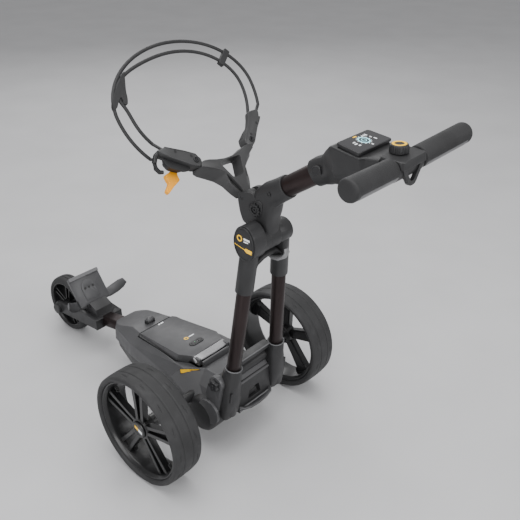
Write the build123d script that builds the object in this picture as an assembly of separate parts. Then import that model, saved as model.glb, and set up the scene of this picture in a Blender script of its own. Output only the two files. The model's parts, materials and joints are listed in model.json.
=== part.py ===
from build123d import *
import math
import os

# Electric golf trolley, three wheels, twin-leg folding frame.
# Frame: +X forward, +Y to the left, +Z up, millimetres. The shapes are drawn on the
# frame's own datum, with the rear axle at x = 0, then TO_GROUND sets every node on the
# ground, with the origin in the middle of the footprint's bounding box.

# ---------------------------------------------------------------- driving sizes
REAR_R = 148.0              # rear tyre radius
REAR_W = 86.0               # rear tyre width
RIM_W = 69.0                # between the rim's two edges
REAR_Y = 252.0              # middle of a rear tyre
RIM_R = 131.0               # where the rear tyre sits on its rim
SPOKE_TURN = -2.0           # degrees that the first rear spoke stands off the vertical
AXLE_Z = REAR_R
SHAFT_R = 8.0
RUNNING = 0.05              # radial running clearance of a shaft in its bore
FRONT_R = 92.0
FRONT_W = 50.0
FRONT_X = 686.0
FRONT_Z = 106.0             # front axle above the frame's datum
FRONT_RIM_R = 75.0
FRONT_AXLE_R = 6.0

BAR_X, BAR_Z = -496.0, 850.0        # middle of the handlebar
BAR_END_X, BAR_END_Y, BAR_END_Z = -513.0, 188.0, 865.0
GRIP_R = 21.0

LEG_PIVOT = (-97.0, 232.0)          # x, z of the lower fold axis
HEAD_PIVOT = (-172.0, 610.0)        # x, z of the upper fold axis
LEG_R = 17.0
TUBE_FOOT_Z = 246.0                 # lower end of a leg tube in its socket
LEG_LOW = Vector(-126, 76, 276)     # left leg tube at its lower collar
LEG_HIGH = Vector(-154, 59, 490)    # left leg tube at its upper collar
COLLAR_R = 21.0
BARREL_R = 28.0
BARREL_LEFT, BARREL_RIGHT = 33.0, -19.0
PIN_R = 8.0
LEVER_PIVOT = (-196.0, 579.0)        # x, z of the thumb lever's pin

STEM_ELBOW = (-158.0, 693.0)        # x, z where the stem leaves the hinge block
STEM_ANGLE = 147.0                  # stem direction in the XZ plane, degrees
STEM_R = 22.0
STEM_LENGTH = 228.0
NECK_START = 168.0                  # station along the stem where the neck begins

BRACKET_PIN = (-125.0, 697.0)       # x, z of the bag bracket's fold axis
BRACKET_ANGLE = 51.0                # slope of the bracket's plane, degrees
BRACKET_DEPTH = 30.0
STRAP_CENTRE = (42.0, 868.0)        # x, z
STRAP_ANGLE = 57.0
STRAP_R = 3.3
TOGGLE_PIVOT = (122.0, 118.0)       # in the bracket's plane

SPINE_PIVOT = (400.0, 104.0)        # x, z of the front frame's fold axis
DECK_Z = 196.0

# The frame stands nose-down on its smaller front wheel: its datum is turned by RAKE
# about the rear axle, until the front tyre also touches the ground.
RAKE = math.degrees(math.asin((FRONT_Z - FRONT_R) / FRONT_X))
COS_RAKE, SIN_RAKE = math.cos(math.radians(RAKE)), math.sin(math.radians(RAKE))
FRONT_TIP = FRONT_X * COS_RAKE + (FRONT_Z - AXLE_Z) * SIN_RAKE + FRONT_R
REAR_TIP = BAR_END_X * COS_RAKE + (BAR_END_Z - AXLE_Z) * SIN_RAKE - GRIP_R
TO_GROUND = Pos(-(FRONT_TIP + REAR_TIP) / 2, 0, AXLE_Z) * Rot(Y=RAKE) * Pos(0, 0, -AXLE_Z)


# ---------------------------------------------------------------- small helpers
def block(x0, x1, y0, y1, z0, z1):
    """Axis-aligned box given by its lowest and highest corners."""
    middle = Pos((x0 + x1) / 2, (y0 + y1) / 2, (z0 + z1) / 2)
    return middle * Box(x1 - x0, y1 - y0, z1 - z0)


def across(radius, y0, y1, x=0.0, z=AXLE_Z):
    """Cylinder whose axis runs sideways, along Y."""
    return Pos(x, (y0 + y1) / 2, z) * Rot(X=90) * Cylinder(radius, y1 - y0)


def cone_across(radius_0, radius_1, y0, y1, x=0.0, z=AXLE_Z):
    """Cone along Y, with radius_0 at y0 and radius_1 at y1."""
    return Pos(x, (y0 + y1) / 2, z) * Rot(X=-90) * Cone(radius_0, radius_1, y1 - y0)


def rod(start, end, radius):
    """Round rod between two points."""
    start, end = Vector(*start), Vector(*end)
    plane = Plane(origin=start, z_dir=end - start)
    return extrude(plane * Circle(radius), amount=(end - start).length)


def side_plate(outline, y0, y1):
    """Closed outline of (x, z) points, extruded from y0 to y1."""
    plane = Plane(origin=(0, y0, 0), x_dir=(1, 0, 0), z_dir=(0, -1, 0))
    face = make_face(Polyline(*outline, close=True))
    return extrude(plane * face, amount=-(y1 - y0))


def plan_face(half_outline, z):
    """Closed face at height z, symmetric about y = 0, from its left-hand points."""
    right = [(x, -y) for x, y in reversed(half_outline)]
    points = [(x, y, z) for x, y in half_outline + right]
    return make_face(Polyline(*points, close=True))


def slab(half_outline, z0, z1):
    """Symmetric plan outline extruded from z0 to z1."""
    return extrude(plan_face(half_outline, z0), amount=z1 - z0, dir=(0, 0, 1))


def slanted(origin_xz, angle):
    """Plane that holds Y, with its own x along the slope and z normal to it, upwards."""
    slope = math.radians(angle)
    along = (math.cos(slope), 0, math.sin(slope))
    normal = (-math.sin(slope), 0, math.cos(slope))
    return Plane(origin=(origin_xz[0], 0, origin_xz[1]), x_dir=along, z_dir=normal)


def on_left_and_right(part):
    """The part and its mirror image, as one set of solids."""
    return part + mirror(part, about=Plane.XZ)


def mirrored(part):
    return mirror(part, about=Plane.XZ)


def leg_point(z, side=1):
    """Point on a leg's centre line at height z; side is 1 for left, -1 for right."""
    share = (z - LEG_LOW.Z) / (LEG_HIGH.Z - LEG_LOW.Z)
    point = LEG_LOW + (LEG_HIGH - LEG_LOW) * share
    return (point.X, side * point.Y, z)


def stem_point(station, lift=0.0):
    """Point (x, z) at a station along the stem; lift is upwards, square to the stem."""
    angle = math.radians(STEM_ANGLE)
    x = STEM_ELBOW[0] + station * math.cos(angle) + lift * math.sin(angle)
    z = STEM_ELBOW[1] + station * math.sin(angle) - lift * math.cos(angle)
    return (x, z)


# ---------------------------------------------------------------- chassis
SHELL_LOW = [(402, 34), (372, 62), (272, 88), (84, 114), (0, 122), (-66, 110)]
SHELL_BEVEL = [(398, 32), (370, 60), (271, 86), (76, 110), (-6, 84), (-66, 84)]
SHELL_TOP = [(392, 24), (335, 42), (82, 86), (52, 86), (6, 50), (-60, 50)]
BAY = [(262, 64), (86, 80), (50, 60), (16, 60)]
BAY_FLOOR_Z = 134.0
DRUM_R = 46.0               # motor drums, about the rear axle


def chassis_shell():
    """Upper casing: a band, a bevel and a flat deck with the battery bay in it."""
    band = loft([plan_face(SHELL_LOW, 134), plan_face(SHELL_BEVEL, 172)], ruled=True)
    bevel = loft([plan_face(SHELL_BEVEL, 172), plan_face(SHELL_TOP, DECK_Z)], ruled=True)
    shell = band + bevel
    shell -= slab(BAY, BAY_FLOOR_Z - 5, DECK_Z + 5)
    nose_slope = [(300, DECK_Z + 0.5), (300, DECK_Z + 20), (420, DECK_Z + 20), (420, 164)]
    shell -= side_plate(nose_slope, -80, 80)
    shell -= across(DRUM_R + 0.3, -111, 111) + across(26, -140, 140)
    shell -= nose_recess()
    return shell + on_left_and_right(chassis_ear() + motor_pod())


def nose_recess():
    """Room in the nose for the front frame's hinge."""
    return block(386.5, 412, -27.2, 27.2, 80, 134.5)


def chassis_tray():
    """Dark lower casing, with the keeper that the frame latch hooks on."""
    outline = [(401, 30), (374, 56), (272, 84), (76, 104), (-30, 100), (-64, 84)]
    tray = loft([plan_face([(p[0] - 8 * (i == 0), p[1] - 8) for i, p in enumerate(outline)], 84),
                 plan_face(outline, 133.9)], ruled=True)
    cavity = [(372, 30), (268, 66), (72, 84), (-50, 70)]
    tray -= slab(cavity, 90, 128.0) & block(-50, 40, -84, 84, 90, 128)
    tray -= slab(cavity, 90, 128.0) & block(262, 372, -84, 84, 90, 128)
    tray -= across(DRUM_R + 0.3, -111, 111)
    tray -= side_plate([(310, 83), (412, 83), (412, 108), (388, 104)], -70, 70)
    tray -= nose_recess()
    tray += block(-84, -62, -9, 9, 126, 133.9)
    tray += block(-84, -78, -9, 9, 126, 142)
    return tray - on_left_and_right(chassis_ear())


def chassis_ear():
    """Left cheek plate that carries one end of the leg pivot."""
    x, z = LEG_PIVOT
    outline = [(x - 20, z - 4), (x - 4, z - 80), (-60, z - 120), (-60, 190), (x + 18, z + 12)]
    plate = side_plate(outline, 98, 112) + across(21, 98, 112, x, z)
    return plate - across(PIN_R, 96, 113, x, z)


def axle_housing():
    """Left motor drum and the tapered tube that runs out to the wheel."""
    drum = across(DRUM_R, 62.5, 110.5) + across(24, 110, 200)
    return drum - across(17, 60, 202)


def motor_pod():
    """Round dark end of the transaxle casting, low behind the axle."""
    return across(34, 111, 119, -70, 137)


def axle_bearing(y0):
    return across(16.9, y0, y0 + 12) - across(SHAFT_R + RUNNING, y0 - 1, y0 + 13)


def motor():
    return across(45.5, 4, 62) - across(11, 3, 63)


def gearbox():
    return across(45.5, -62, 3.5) - across(11, -63, 5)


def controller():
    """Speed controller in the nose of the chassis."""
    board = block(272, 356, -26, 26, 94, 96)
    parts = block(280, 300, -20, 20, 96, 112) + block(306, 320, -12, 12, 96, 108)
    parts += block(328, 348, -20, 20, 96, 104)
    return board + parts


def lower_pin_caps():
    """Star-socket bolt ends of the leg pivot, one outside each cheek."""
    x, z = LEG_PIVOT
    cap = across(13, 112, 116.5, x, z) - across(8, 114, 117, x, z)
    for i in range(5):
        angle = math.radians(72 * i + 90)
        cap -= across(2.6, 114, 117, x + 8.6 * math.cos(angle), z + 8.6 * math.sin(angle))
    cap += across(3.2, 113.9, 115.9, x, z)
    return on_left_and_right(cap)


def leg_pivot_shaft():
    x, z = LEG_PIVOT
    return across(PIN_R, -111.5, 111.5, x, z)


# ---------------------------------------------------------------- battery
LID_LOW = [(258, 62), (88, 77), (52, 58), (19, 58)]


def battery_lid():
    """Lid that rises towards the rear, with the hand recess at its back edge."""
    top = [(252, 56), (84, 70), (50, 55), (20, 55)]
    lid = loft([plan_face(LID_LOW, 186), plan_face(top, 216)], ruled=True)
    profile = [(0, 199), (56, 199), (56, 180), (270, 180), (270, 197), (240, 202), (60, 216), (0, 219)]
    lid &= side_plate(profile, -90, 90)
    lid -= block(16, 46, -47, 47, 188, 222)
    return lid


def battery_case():
    """Tub that drops into the bay, with shallow feet and its rear connector block."""
    case = slab([(256, 60), (86, 75), (56, 60)], BAY_FLOOR_Z + 0.6, 186)
    case -= slab([(252, 56), (87, 71), (60, 57)], BAY_FLOOR_Z + 3, 183)
    return case


def battery_cells():
    """Cell pack: rows of round cells standing in the tub."""
    cells = None
    for column in range(8):
        for row in range(5):
            cell = Pos(76 + column * 22.6, (row - 2) * 22.4, 160) * Cylinder(10.6, 42)
            cells = cell if cells is None else cells + cell
    carrier = block(66, 244, -54, 54, 158, 162)
    return cells + carrier


def battery_handle():
    """Pale carry bar over the recess, on two ends that stand on the lid."""
    bar = block(26, 42, -58, 58, 211, 219)
    bar = fillet(bar.edges().filter_by(Axis.Y), 3)
    ends = block(28, 40, 47.2, 57, 200, 213) + block(28, 40, -57, -47.2, 200, 213)
    return bar + ends - battery_lid()


def button_panel():
    """Oval key panel let into the lid, with two wells."""
    plane = slanted((90, 214.0), -4.6)
    panel = extrude(plane * SlotOverall(46, 20, rotation=90), amount=1.6)
    for y in (-11, 11):
        panel -= extrude(plane * Pos(0, y) * Circle(6.28), amount=3, both=True)
    return panel


def battery_button(y):
    """Round key that travels 1 mm into the panel's well."""
    plane = slanted((90, 214.9), -4.6)
    return extrude(plane * Pos(0, y) * Circle(6.2), amount=1.4)


def battery_catch():
    """Rocking catch in front of the lid that holds the battery down."""
    catch = across(5, -9, 9, 284, 203) + side_plate([(279, 203), (276, 212), (292, 212), (289, 203)], -7, 7)
    return catch - across(2.5, -10, 10, 284, 203)


def catch_mount():
    """Two lugs and the pin that the battery catch rocks on."""
    lug = side_plate([(277, DECK_Z), (291, DECK_Z), (289, 207), (279, 207)], 9.5, 14)
    return on_left_and_right(lug) + across(2.44, -9.6, 9.6, 284, 203)


# ---------------------------------------------------------------- rear wheels
def rear_tyre():
    """Low-profile left tyre with rounded shoulders and tread grooves."""
    tyre = across(REAR_R, REAR_Y - REAR_W / 2, REAR_Y + REAR_W / 2)
    tyre = fillet(tyre.edges().filter_by(GeomType.CIRCLE), 13)
    tyre -= across(RIM_R, REAR_Y - 50, REAR_Y + 50)
    tyre -= cone_across(RIM_R + 9, RIM_R, REAR_Y - REAR_W / 2, REAR_Y - RIM_W / 2)
    tyre -= cone_across(RIM_R, RIM_R + 9, REAR_Y + RIM_W / 2, REAR_Y + REAR_W / 2)
    for offset in (-16, 16):
        groove = across(REAR_R + 1, REAR_Y + offset - 1.2, REAR_Y + offset + 1.2)
        tyre -= groove - across(REAR_R - 2, REAR_Y - 30, REAR_Y + 30)
    return tyre


def rear_rim():
    """Left rim: barrel, flanges, hub and five double-rib spokes, dished inwards."""
    half = RIM_W / 2
    rim = across(RIM_R, REAR_Y - half, REAR_Y + half) - across(125, REAR_Y - 40, REAR_Y + 40)
    rim += across(34, REAR_Y - 6, REAR_Y + 24) + across(17, REAR_Y - 46, REAR_Y + 10)
    for i in range(5):
        for side in (-1, 1):
            rib = side_plate([(side * 9, 26), (side * 15, 26), (side * 21, 127), (side * 13, 127)],
                             REAR_Y + 8, REAR_Y + 24)
            rim += Pos(0, 0, AXLE_Z) * Rot(Y=72 * i + SPOKE_TURN) * rib
        web = side_plate([(-12, 28), (12, 28), (17, 127), (-17, 127)], REAR_Y + 6, REAR_Y + 14)
        rim += Pos(0, 0, AXLE_Z) * Rot(Y=72 * i + SPOKE_TURN) * web
    rim -= across(SHAFT_R, REAR_Y - 50, REAR_Y + 18)
    return rim


def hub_cap():
    cap = across(24, REAR_Y + 24, REAR_Y + 30)
    return fillet(cap.edges().group_by(Axis.Y)[-1], 2.5)


def half_shaft():
    """Left axle shaft, from the gear train out to the wheel's hub."""
    return across(SHAFT_R, 4, REAR_Y + 18) + across(10, 64, 74)


# ---------------------------------------------------------------- front frame
def spine_tube(width, depth, length):
    """Rounded tube that runs from the chassis nose down to the fork."""
    plane = Plane(origin=(403, 0, 135.5), x_dir=(0, 1, 0), z_dir=(72, 0, -12))
    return extrude(plane * RectangleRounded(width, depth, depth * 0.37), amount=length)


def front_spine():
    """Flat-sided tube with the pivot eye under its rear end."""
    x, z = SPINE_PIVOT
    eye = across(13, -20, 20, x, z) + block(x + 4, x + 22, -20, 20, z, 124)
    spine = spine_tube(50, 32, 95) + eye - spine_tube(45, 27, 96)
    return spine - across(6.05, -21, 21, x, z)


def spine_hinge():
    """Hinge cheeks on the chassis nose and the pin that the spine turns on."""
    x, z = SPINE_PIVOT
    cheek = across(13, 20.5, 27, x, z) + block(x - 13.5, x, 20.5, 27, z - 13, z + 13)
    return on_left_and_right(cheek) + across(6, -26, 26, x, z)


def front_fork():
    """Fork casting: a socket over the spine and two arms down to the axle."""
    arm = side_plate([(500, 104), (500, 136), (560, 142), (650, 132), (698, 124), (712, 104), (694, 90),
                      (600, 98)], 36, 48)
    arm += across(18, 36, 50, FRONT_X, FRONT_Z)
    fork = on_left_and_right(arm) + block(486, 550, -48, 48, 104, 136)
    fork += side_plate([(500, 130), (506, 158), (536, 172), (560, 150), (556, 130)], -30, 30)
    fork -= across(FRONT_R + 8, -35, 35, FRONT_X, FRONT_Z)
    fork -= spine_tube(50, 32, 95) + bag_rest() + bag_rest_ears()
    return fork - across(FRONT_AXLE_R, -60, 60, FRONT_X, FRONT_Z)


def fork_caps():
    """Axle covers outside the fork arms."""
    cap = across(16, 50, 60, FRONT_X, FRONT_Z)
    cap = fillet(cap.edges().group_by(Axis.Y)[-1], 2)
    return on_left_and_right(cap)


def front_axle():
    """Axle bolt with its two end covers outside the fork."""
    return across(FRONT_AXLE_R, -50, 50, FRONT_X, FRONT_Z) + fork_caps()


def bag_rest():
    """Lower bag support: a sloping plate with a raised lip and an arched boss."""
    plane = slanted((545, 160), 56.0)
    plate = extrude(plane * Pos(49, 0) * Rectangle(94, 106), amount=-9)
    plate += extrude(plane * Pos(93, 0) * Rectangle(10, 106), amount=5)
    boss = Pos(34, 0) * Rectangle(36, 50) + Pos(52, 0) * Circle(25)
    plate += extrude(plane * boss, amount=3)
    for y in (-14, 0, 14):
        plate -= extrude(plane * Pos(52, y) * Circle(3), amount=20, both=True)
    return plate


def bag_rest_ears():
    """The flange under the bag rest, which turns out into an ear on each side."""
    plane = slanted((545, 160), 56.0)
    flange = extrude(plane * Pos(-2, 0) * Rectangle(12, 104), amount=11)
    ear = rod((550, 48, 163), (530, 103, 195), 9.5)
    return flange + on_left_and_right(ear) - bag_rest()


# ---------------------------------------------------------------- front wheel
def front_tyre():
    tyre = across(FRONT_R, -FRONT_W / 2, FRONT_W / 2, FRONT_X, FRONT_Z)
    tyre = fillet(tyre.edges().filter_by(GeomType.CIRCLE), 12)
    return tyre - across(FRONT_RIM_R, -40, 40, FRONT_X, FRONT_Z)


def front_rim():
    """Closed-face front rim with five pockets a side and its hub."""
    rim = across(FRONT_RIM_R, -23, 23, FRONT_X, FRONT_Z)
    rim -= across(70, 6, 30, FRONT_X, FRONT_Z) + across(70, -30, -6, FRONT_X, FRONT_Z)
    rim += across(20, -34, 34, FRONT_X, FRONT_Z)
    for i in range(5):
        rib = side_plate([(-6, 16), (6, 16), (8, 72), (-8, 72)], -18, 18)
        rim += Pos(FRONT_X, 0, FRONT_Z) * Rot(Y=72 * i + 20) * rib
    return rim - across(FRONT_AXLE_R + RUNNING, -40, 40, FRONT_X, FRONT_Z)


# ---------------------------------------------------------------- legs
def leg_saddle():
    """Casting that joins the two leg sockets and turns on the leg pivot."""
    socket = rod(leg_point(138), leg_point(276), COLLAR_R)
    sockets = on_left_and_right(socket)
    panel = block(-118, -104, -72, 72, 132, 212)
    panel += block(-106, -99, -66, 66, 205, 272)
    ledge = side_plate([(-120, 205), (-100, 228), (-100, 205)], -60, 60)
    bar = block(-121, -99, -58, 58, 264, 275)
    lip = block(-122, -100, -60, 60, 124, 137)
    x, z = LEG_PIVOT
    saddle = sockets + panel + ledge + bar + lip + across(16, -97, 97, x, z)
    opening = [(145, 23), (173, 17)]
    cut = make_face(Polyline((-opening[0][1], opening[0][0]), (opening[0][1], opening[0][0]),
                             (opening[1][1], opening[1][0]), (-opening[1][1], opening[1][0]), close=True))
    wall = Plane(origin=(-130, 0, 0), x_dir=(0, 1, 0), z_dir=(1, 0, 0))
    saddle -= extrude(wall * cut, amount=40)
    saddle -= across(PIN_R + RUNNING, -99, 99, x, z)
    for side in (-1, 1):
        saddle -= rod(leg_point(TUBE_FOOT_Z, side), leg_point(280, side), LEG_R)
    saddle -= block(-160, -60, 97.2, 130, 100, 300) + block(-160, -60, -130, -97.2, 100, 300)
    return saddle


def leg_tube():
    tube = rod(leg_point(TUBE_FOOT_Z), leg_point(560), LEG_R)
    return tube - rod(leg_point(TUBE_FOOT_Z - 1), leg_point(561), LEG_R - 2)


def leg_head_left():
    """Left upper casting: a sleeve over the tube and the oval hinge cheek above it."""
    sleeve = rod(leg_point(490), leg_point(600), COLLAR_R)
    oval = extrude(Plane(origin=(-171, 70, 617), x_dir=(1, 0, 0), z_dir=(0, -1, 0)) * Ellipse(31, 41.5),
                   amount=70 - BARREL_LEFT - 0.5)
    head = sleeve + oval - rod(leg_point(480), leg_point(560), LEG_R)
    head -= block(-240, -100, 0, BARREL_LEFT + 0.5, 576, 680)
    return head - across(PIN_R, 20, 62, *HEAD_PIVOT)


def leg_head_right():
    """Right upper casting, with a plain round cheek."""
    sleeve = rod(leg_point(490, -1), leg_point(596, -1), COLLAR_R)
    head = sleeve + across(27, -58, BARREL_RIGHT - 0.5, *HEAD_PIVOT)
    head -= rod(leg_point(480, -1), leg_point(560, -1), LEG_R)
    head -= block(-240, -100, BARREL_RIGHT - 0.5, 0, 576, 680)
    return head - across(PIN_R, -52, -10, *HEAD_PIVOT)


def leg_bridge():
    """Arched web between the two heads, under the hinge barrel."""
    arch = Plane(origin=(-188, 0, 0), x_dir=(0, 1, 0), z_dir=(1, 0, 0))
    web = extrude(arch * Pos(0, 552) * Rectangle(80, 80), amount=34)
    web -= extrude(arch * (Pos(0, 510) * Rectangle(46, 60) + Pos(0, 538) * Circle(23)), amount=60, both=True)
    web -= across(BARREL_R + 0.6, -50, 50, *HEAD_PIVOT)
    web -= leg_head_left() + leg_head_right()
    x, z = LEVER_PIVOT
    lug = block(x - 5, -187, -24.5, -21, z - 5, z + 5)
    lugs = lug + Pos(0, -16.5, 0) * lug + across(2.5, -38, -24, x, z)
    return web.solids().sort_by(SortBy.VOLUME)[-1] + lugs


def fold_caps():
    """Oval cover on the left head and round one on the right."""
    plane = Plane(origin=(-171, 70, 617), x_dir=(1, 0, 0), z_dir=(0, 1, 0))
    cap = extrude(plane * Ellipse(28.5, 39), amount=3)
    disc = across(20, -60, -58, *HEAD_PIVOT)
    return fillet(cap.edges().group_by(Axis.Y)[-1], 1.2) + disc


def hinge_pin():
    return across(PIN_R, -52, 62, *HEAD_PIVOT)


def frame_latch():
    """Spring catch in the saddle's opening: pushed up, it leaves the keeper."""
    catch = block(-112, -104, -14, 14, 148, 160) + block(-104, -74, -7, 7, 148, 156)
    return catch


def hinge_lever():
    """Hooked thumb lever on the inside of the right head."""
    x, z = LEVER_PIVOT
    hook = [(x + 5, z), (x - 6, z), (x - 11, z - 17), (x - 9, z - 32), (x - 1, z - 37), (x + 2, z - 32),
            (x - 3, z - 27), (x - 3, z - 17), (x + 3, z - 7)]
    lever = side_plate(hook, -37, -25) + across(6, -37, -25, x, z)
    return lever - across(2.5 + RUNNING, -38, -24, x, z)


# ---------------------------------------------------------------- stem
def hinge_block():
    """Barrel between the heads and the elbow that turns up into the stem socket."""
    end_low, end_high = stem_point(80, -26), stem_point(80, 26)
    outline = [(-199, 612), (-196, 640), (-188, 664), end_low, end_high, (-152, 722), (-120, 699),
               (-118, 684), (-130, 650), (-145, 614)]
    elbow = side_plate(outline, -27, 27) - block(-230, -110, -28, BARREL_RIGHT, 600, 641)
    elbow += across(BARREL_R, BARREL_RIGHT, BARREL_LEFT, *HEAD_PIVOT)
    elbow -= across(PIN_R + RUNNING, -40, 40, *HEAD_PIVOT)
    start, end = stem_point(30), stem_point(90)
    elbow -= rod((start[0], 0, start[1]), (end[0], 0, end[1]), STEM_R)
    elbow -= block(-150, -100, -13.5, 13.5, 682, 730)
    x, z = BRACKET_PIN
    elbow += across(12, -27, -13.5, x, z) + across(12, 13.5, 27, x, z)
    elbow -= across(18.5, 22, 30, -163, 676)
    return elbow - across(5 + RUNNING, -30, 30, x, z)


def stem_boss():
    """Toothed round boss in the block's left recess."""
    boss = across(14, 22, 27, -163, 676) - across(6, 24, 28, -163, 676)
    for i in range(12):
        angle = math.radians(30 * i)
        boss -= across(1.7, 24.5, 28, -163 + 12 * math.cos(angle), 676 + 12 * math.sin(angle))
    return boss + across(3, 23.9, 26, -163, 676)


def stem_tube():
    start, end = stem_point(30), stem_point(STEM_LENGTH)
    tube = rod((start[0], 0, start[1]), (end[0], 0, end[1]), STEM_R)
    return tube - rod((start[0], 0, start[1]), (end[0], 0, end[1]), STEM_R - 2.2)


# ---------------------------------------------------------------- handle
def handle_neck():
    """Neck that slides on the stem tube and widens into the display pod and bar clamp."""
    x_bar, z_bar = BAR_X, BAR_Z
    start_low, start_high = stem_point(NECK_START, -27), stem_point(NECK_START, 27)
    outline = [start_low, stem_point(250, -29), (-448, 808), (-478, 822), (x_bar + 2, z_bar - 21),
               (x_bar + 2, z_bar + 22),
               (-452, 866), (-440, 870), (-392, 871.5), stem_point(236, 30), start_high]
    neck = side_plate(outline, -27, 27)
    pod = loft([plan_face([(-384, 30), (-384, 31), (-450, 33), (-450, 32)], 838),
                plan_face([(-386, 48), (-388, 49), (-446, 53), (-447, 50)], 872)], ruled=True)
    neck += pod
    neck += block(-470, -446, -40, 40, 842, 868)
    start, end = stem_point(NECK_START - 4), stem_point(STEM_LENGTH + 46)
    neck -= rod((start[0], 0, start[1]), (end[0], 0, end[1]), STEM_R + 0.1)
    neck -= hub_body() + across(GRIP_R, -60, 60, x_bar, z_bar)
    neck -= Pos(x_bar + 8, 0, z_bar + 36) * Cylinder(19.5, 28)
    neck -= across(10.08, 22.9, 28, *stem_point(205, 4))
    return neck


def display_glass():
    """Dark display window that tops the pod."""
    low = [(-387, 45), (-390, 48), (-444, 52), (-446, 49)]
    high = [(x + math.copysign(1.5, -400 - x), y - 2) for x, y in low]
    glass = loft([plan_face(low, 872), plan_face(high, 881)], ruled=True)
    return glass & side_plate([(-380, 870), (-380, 881), (-450, 876), (-450, 870)], -60, 60)


def bar_half(inner_y, radius, end_y=BAR_END_Y):
    """One side of the handlebar, swept back and up towards its end."""
    share = inner_y / BAR_END_Y
    reach = end_y / BAR_END_Y
    start = (BAR_X + (BAR_END_X - BAR_X) * share, inner_y, BAR_Z + (BAR_END_Z - BAR_Z) * share)
    end = (BAR_X + (BAR_END_X - BAR_X) * reach, end_y, BAR_Z + (BAR_END_Z - BAR_Z) * reach)
    return rod(start, end, radius)


def handle_bar():
    """Core tube of the T-bar."""
    core = bar_half(38, 14, 176)
    return on_left_and_right(core)


def grip():
    """Left grip sleeve over the core tube."""
    sleeve = bar_half(43.5, GRIP_R)
    rim = sleeve.edges().group_by(Axis.Y)[-1]
    return fillet(rim, 6) - bar_half(38, 14, 176)


def hub_body():
    """Outer shape of the T-bar's centre housing."""
    top = [(BAR_X - 21, BAR_Z), (BAR_X - 12, BAR_Z + 22), (BAR_X + 16, BAR_Z + 22), (BAR_X + 10, BAR_Z)]
    return across(GRIP_R, -41, 41, BAR_X, BAR_Z) + side_plate(top, -40, 40)


def bar_hub():
    """Centre housing of the T-bar, which the neck cups."""
    hub = hub_body()
    hub -= Pos(BAR_X + 8, 0, BAR_Z + 12) * Cylinder(6.1, 24)
    hub -= on_left_and_right(bar_half(37.9, 14, 60))
    return hub + accessory_ring()


def accessory_ring():
    """V-shaped ring under the back of the bar hub."""
    plane = Plane(origin=(BAR_X - 15, 0, BAR_Z), x_dir=(0, 1, 0), z_dir=(-1, 0, 0))
    outer = make_face(Polyline((-38, 14), (38, 14), (30, -2), (8, -32), (-8, -32), (-30, -2), close=True))
    inner = make_face(Polyline((-24, 2), (24, 2), (5, -23), (-5, -23), close=True))
    ring = extrude(plane * (outer - inner), amount=9)
    return ring - on_left_and_right(bar_half(37.9, 14, 60))


def height_latch():
    """D-shaped thumb latch on the left of the neck, pressed in to slide the handle."""
    x, z = stem_point(205, 4)
    return across(10, 26.2, 31, x, z)


def knob_core():
    """Push spindle of the speed control."""
    spindle = Pos(BAR_X + 8, 0, BAR_Z + 16) * Cylinder(6, 24)
    return spindle


def speed_knob():
    """Rotary cap with fine flutes, turning on the spindle."""
    base_z = BAR_Z + 22.8
    flute_ring = 18.6
    knob = Pos(BAR_X + 8, 0, base_z + 7.5) * Cylinder(18, 15)
    knob = fillet(knob.edges().group_by(Axis.Z)[-1], 2)
    knob -= Pos(BAR_X + 8, 0, base_z + 2.6) * Cylinder(6.05, 5.3)
    for i in range(24):
        angle = math.radians(15 * i)
        x, y = BAR_X + 8 + flute_ring * math.cos(angle), flute_ring * math.sin(angle)
        knob -= Pos(x, y, base_z + 6) * Cylinder(1.4, 16)
    return knob


# ---------------------------------------------------------------- bag bracket
def bracket_plane():
    return slanted(BRACKET_PIN, BRACKET_ANGLE)


def bracket_yoke():
    """Y-shaped yoke: an eye on the pin, a triangular opening and two arm bosses."""
    half = [(14, 13), (14, 22), (46, 40), (72, 52), (92, 76),
            (100, 92), (122, 92), (118, 74), (106, 36), (102, 0)]
    points = half + [(s, -y) for s, y in reversed(half[:-1])]
    yoke = extrude(bracket_plane() * make_face(Polyline(*points, close=True)), amount=-BRACKET_DEPTH)
    window = make_face(Polyline((44, 8), (90, 32), (90, -32), (44, -8), close=True))
    yoke -= extrude(bracket_plane() * window, amount=60, both=True)
    rear = extrude(bracket_plane() * Pos(58, 0) * Rectangle(150, 200), amount=60)
    eye = across(11, -13, 13, *BRACKET_PIN)
    eye += extrude(bracket_plane() * Pos(10, 0) * Rectangle(20, 26), amount=-11)
    yoke = (yoke - rear) + eye
    for side in (-1, 1):
        yoke -= extrude(bracket_plane() * Pos(112, side * 85) * Circle(14.5), amount=-12)
        yoke -= extrude(bracket_plane() * Pos(112, side * 85) * Circle(4), amount=60, both=True)
    yoke -= across(14, -40, -13.6, *BRACKET_PIN) + across(14, 13.6, 40, *BRACKET_PIN)
    return yoke - across(5, -20, 20, *BRACKET_PIN)


def bracket_bolts():
    """Fold pin of the bracket and the two bolts that clamp its arms."""
    return across(5, -26.5, 26.5, *BRACKET_PIN) + arm_bolts()


def bracket_arm():
    """Left arm: a boss on the yoke's end and a curved blade that follows the bag."""
    blade = make_face(Polyline((112, 72), (126, 82), (142, 108), (172, 132), (176, 146), (160, 158),
                               (128, 128), (104, 96), close=True))
    top = extrude(bracket_plane() * (blade + Pos(112, 85) * Circle(14)), amount=-11.5)
    deep = make_face(Polyline((124, 96), (142, 110), (172, 134), (176, 146), (160, 158), (130, 128),
                              close=True))
    arm = top + extrude(bracket_plane() * deep, amount=-34)
    return arm - extrude(bracket_plane() * Pos(112, 85) * Circle(4), amount=60, both=True)


def arm_bolts():
    """Bolts that clamp the two arms to the yoke."""
    bolt = extrude(bracket_plane() * Pos(112, 85) * Circle(4), amount=-30)
    bolt += extrude(bracket_plane() * Pos(112, 85) * Circle(7), amount=2.5)
    return on_left_and_right(bolt)


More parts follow.
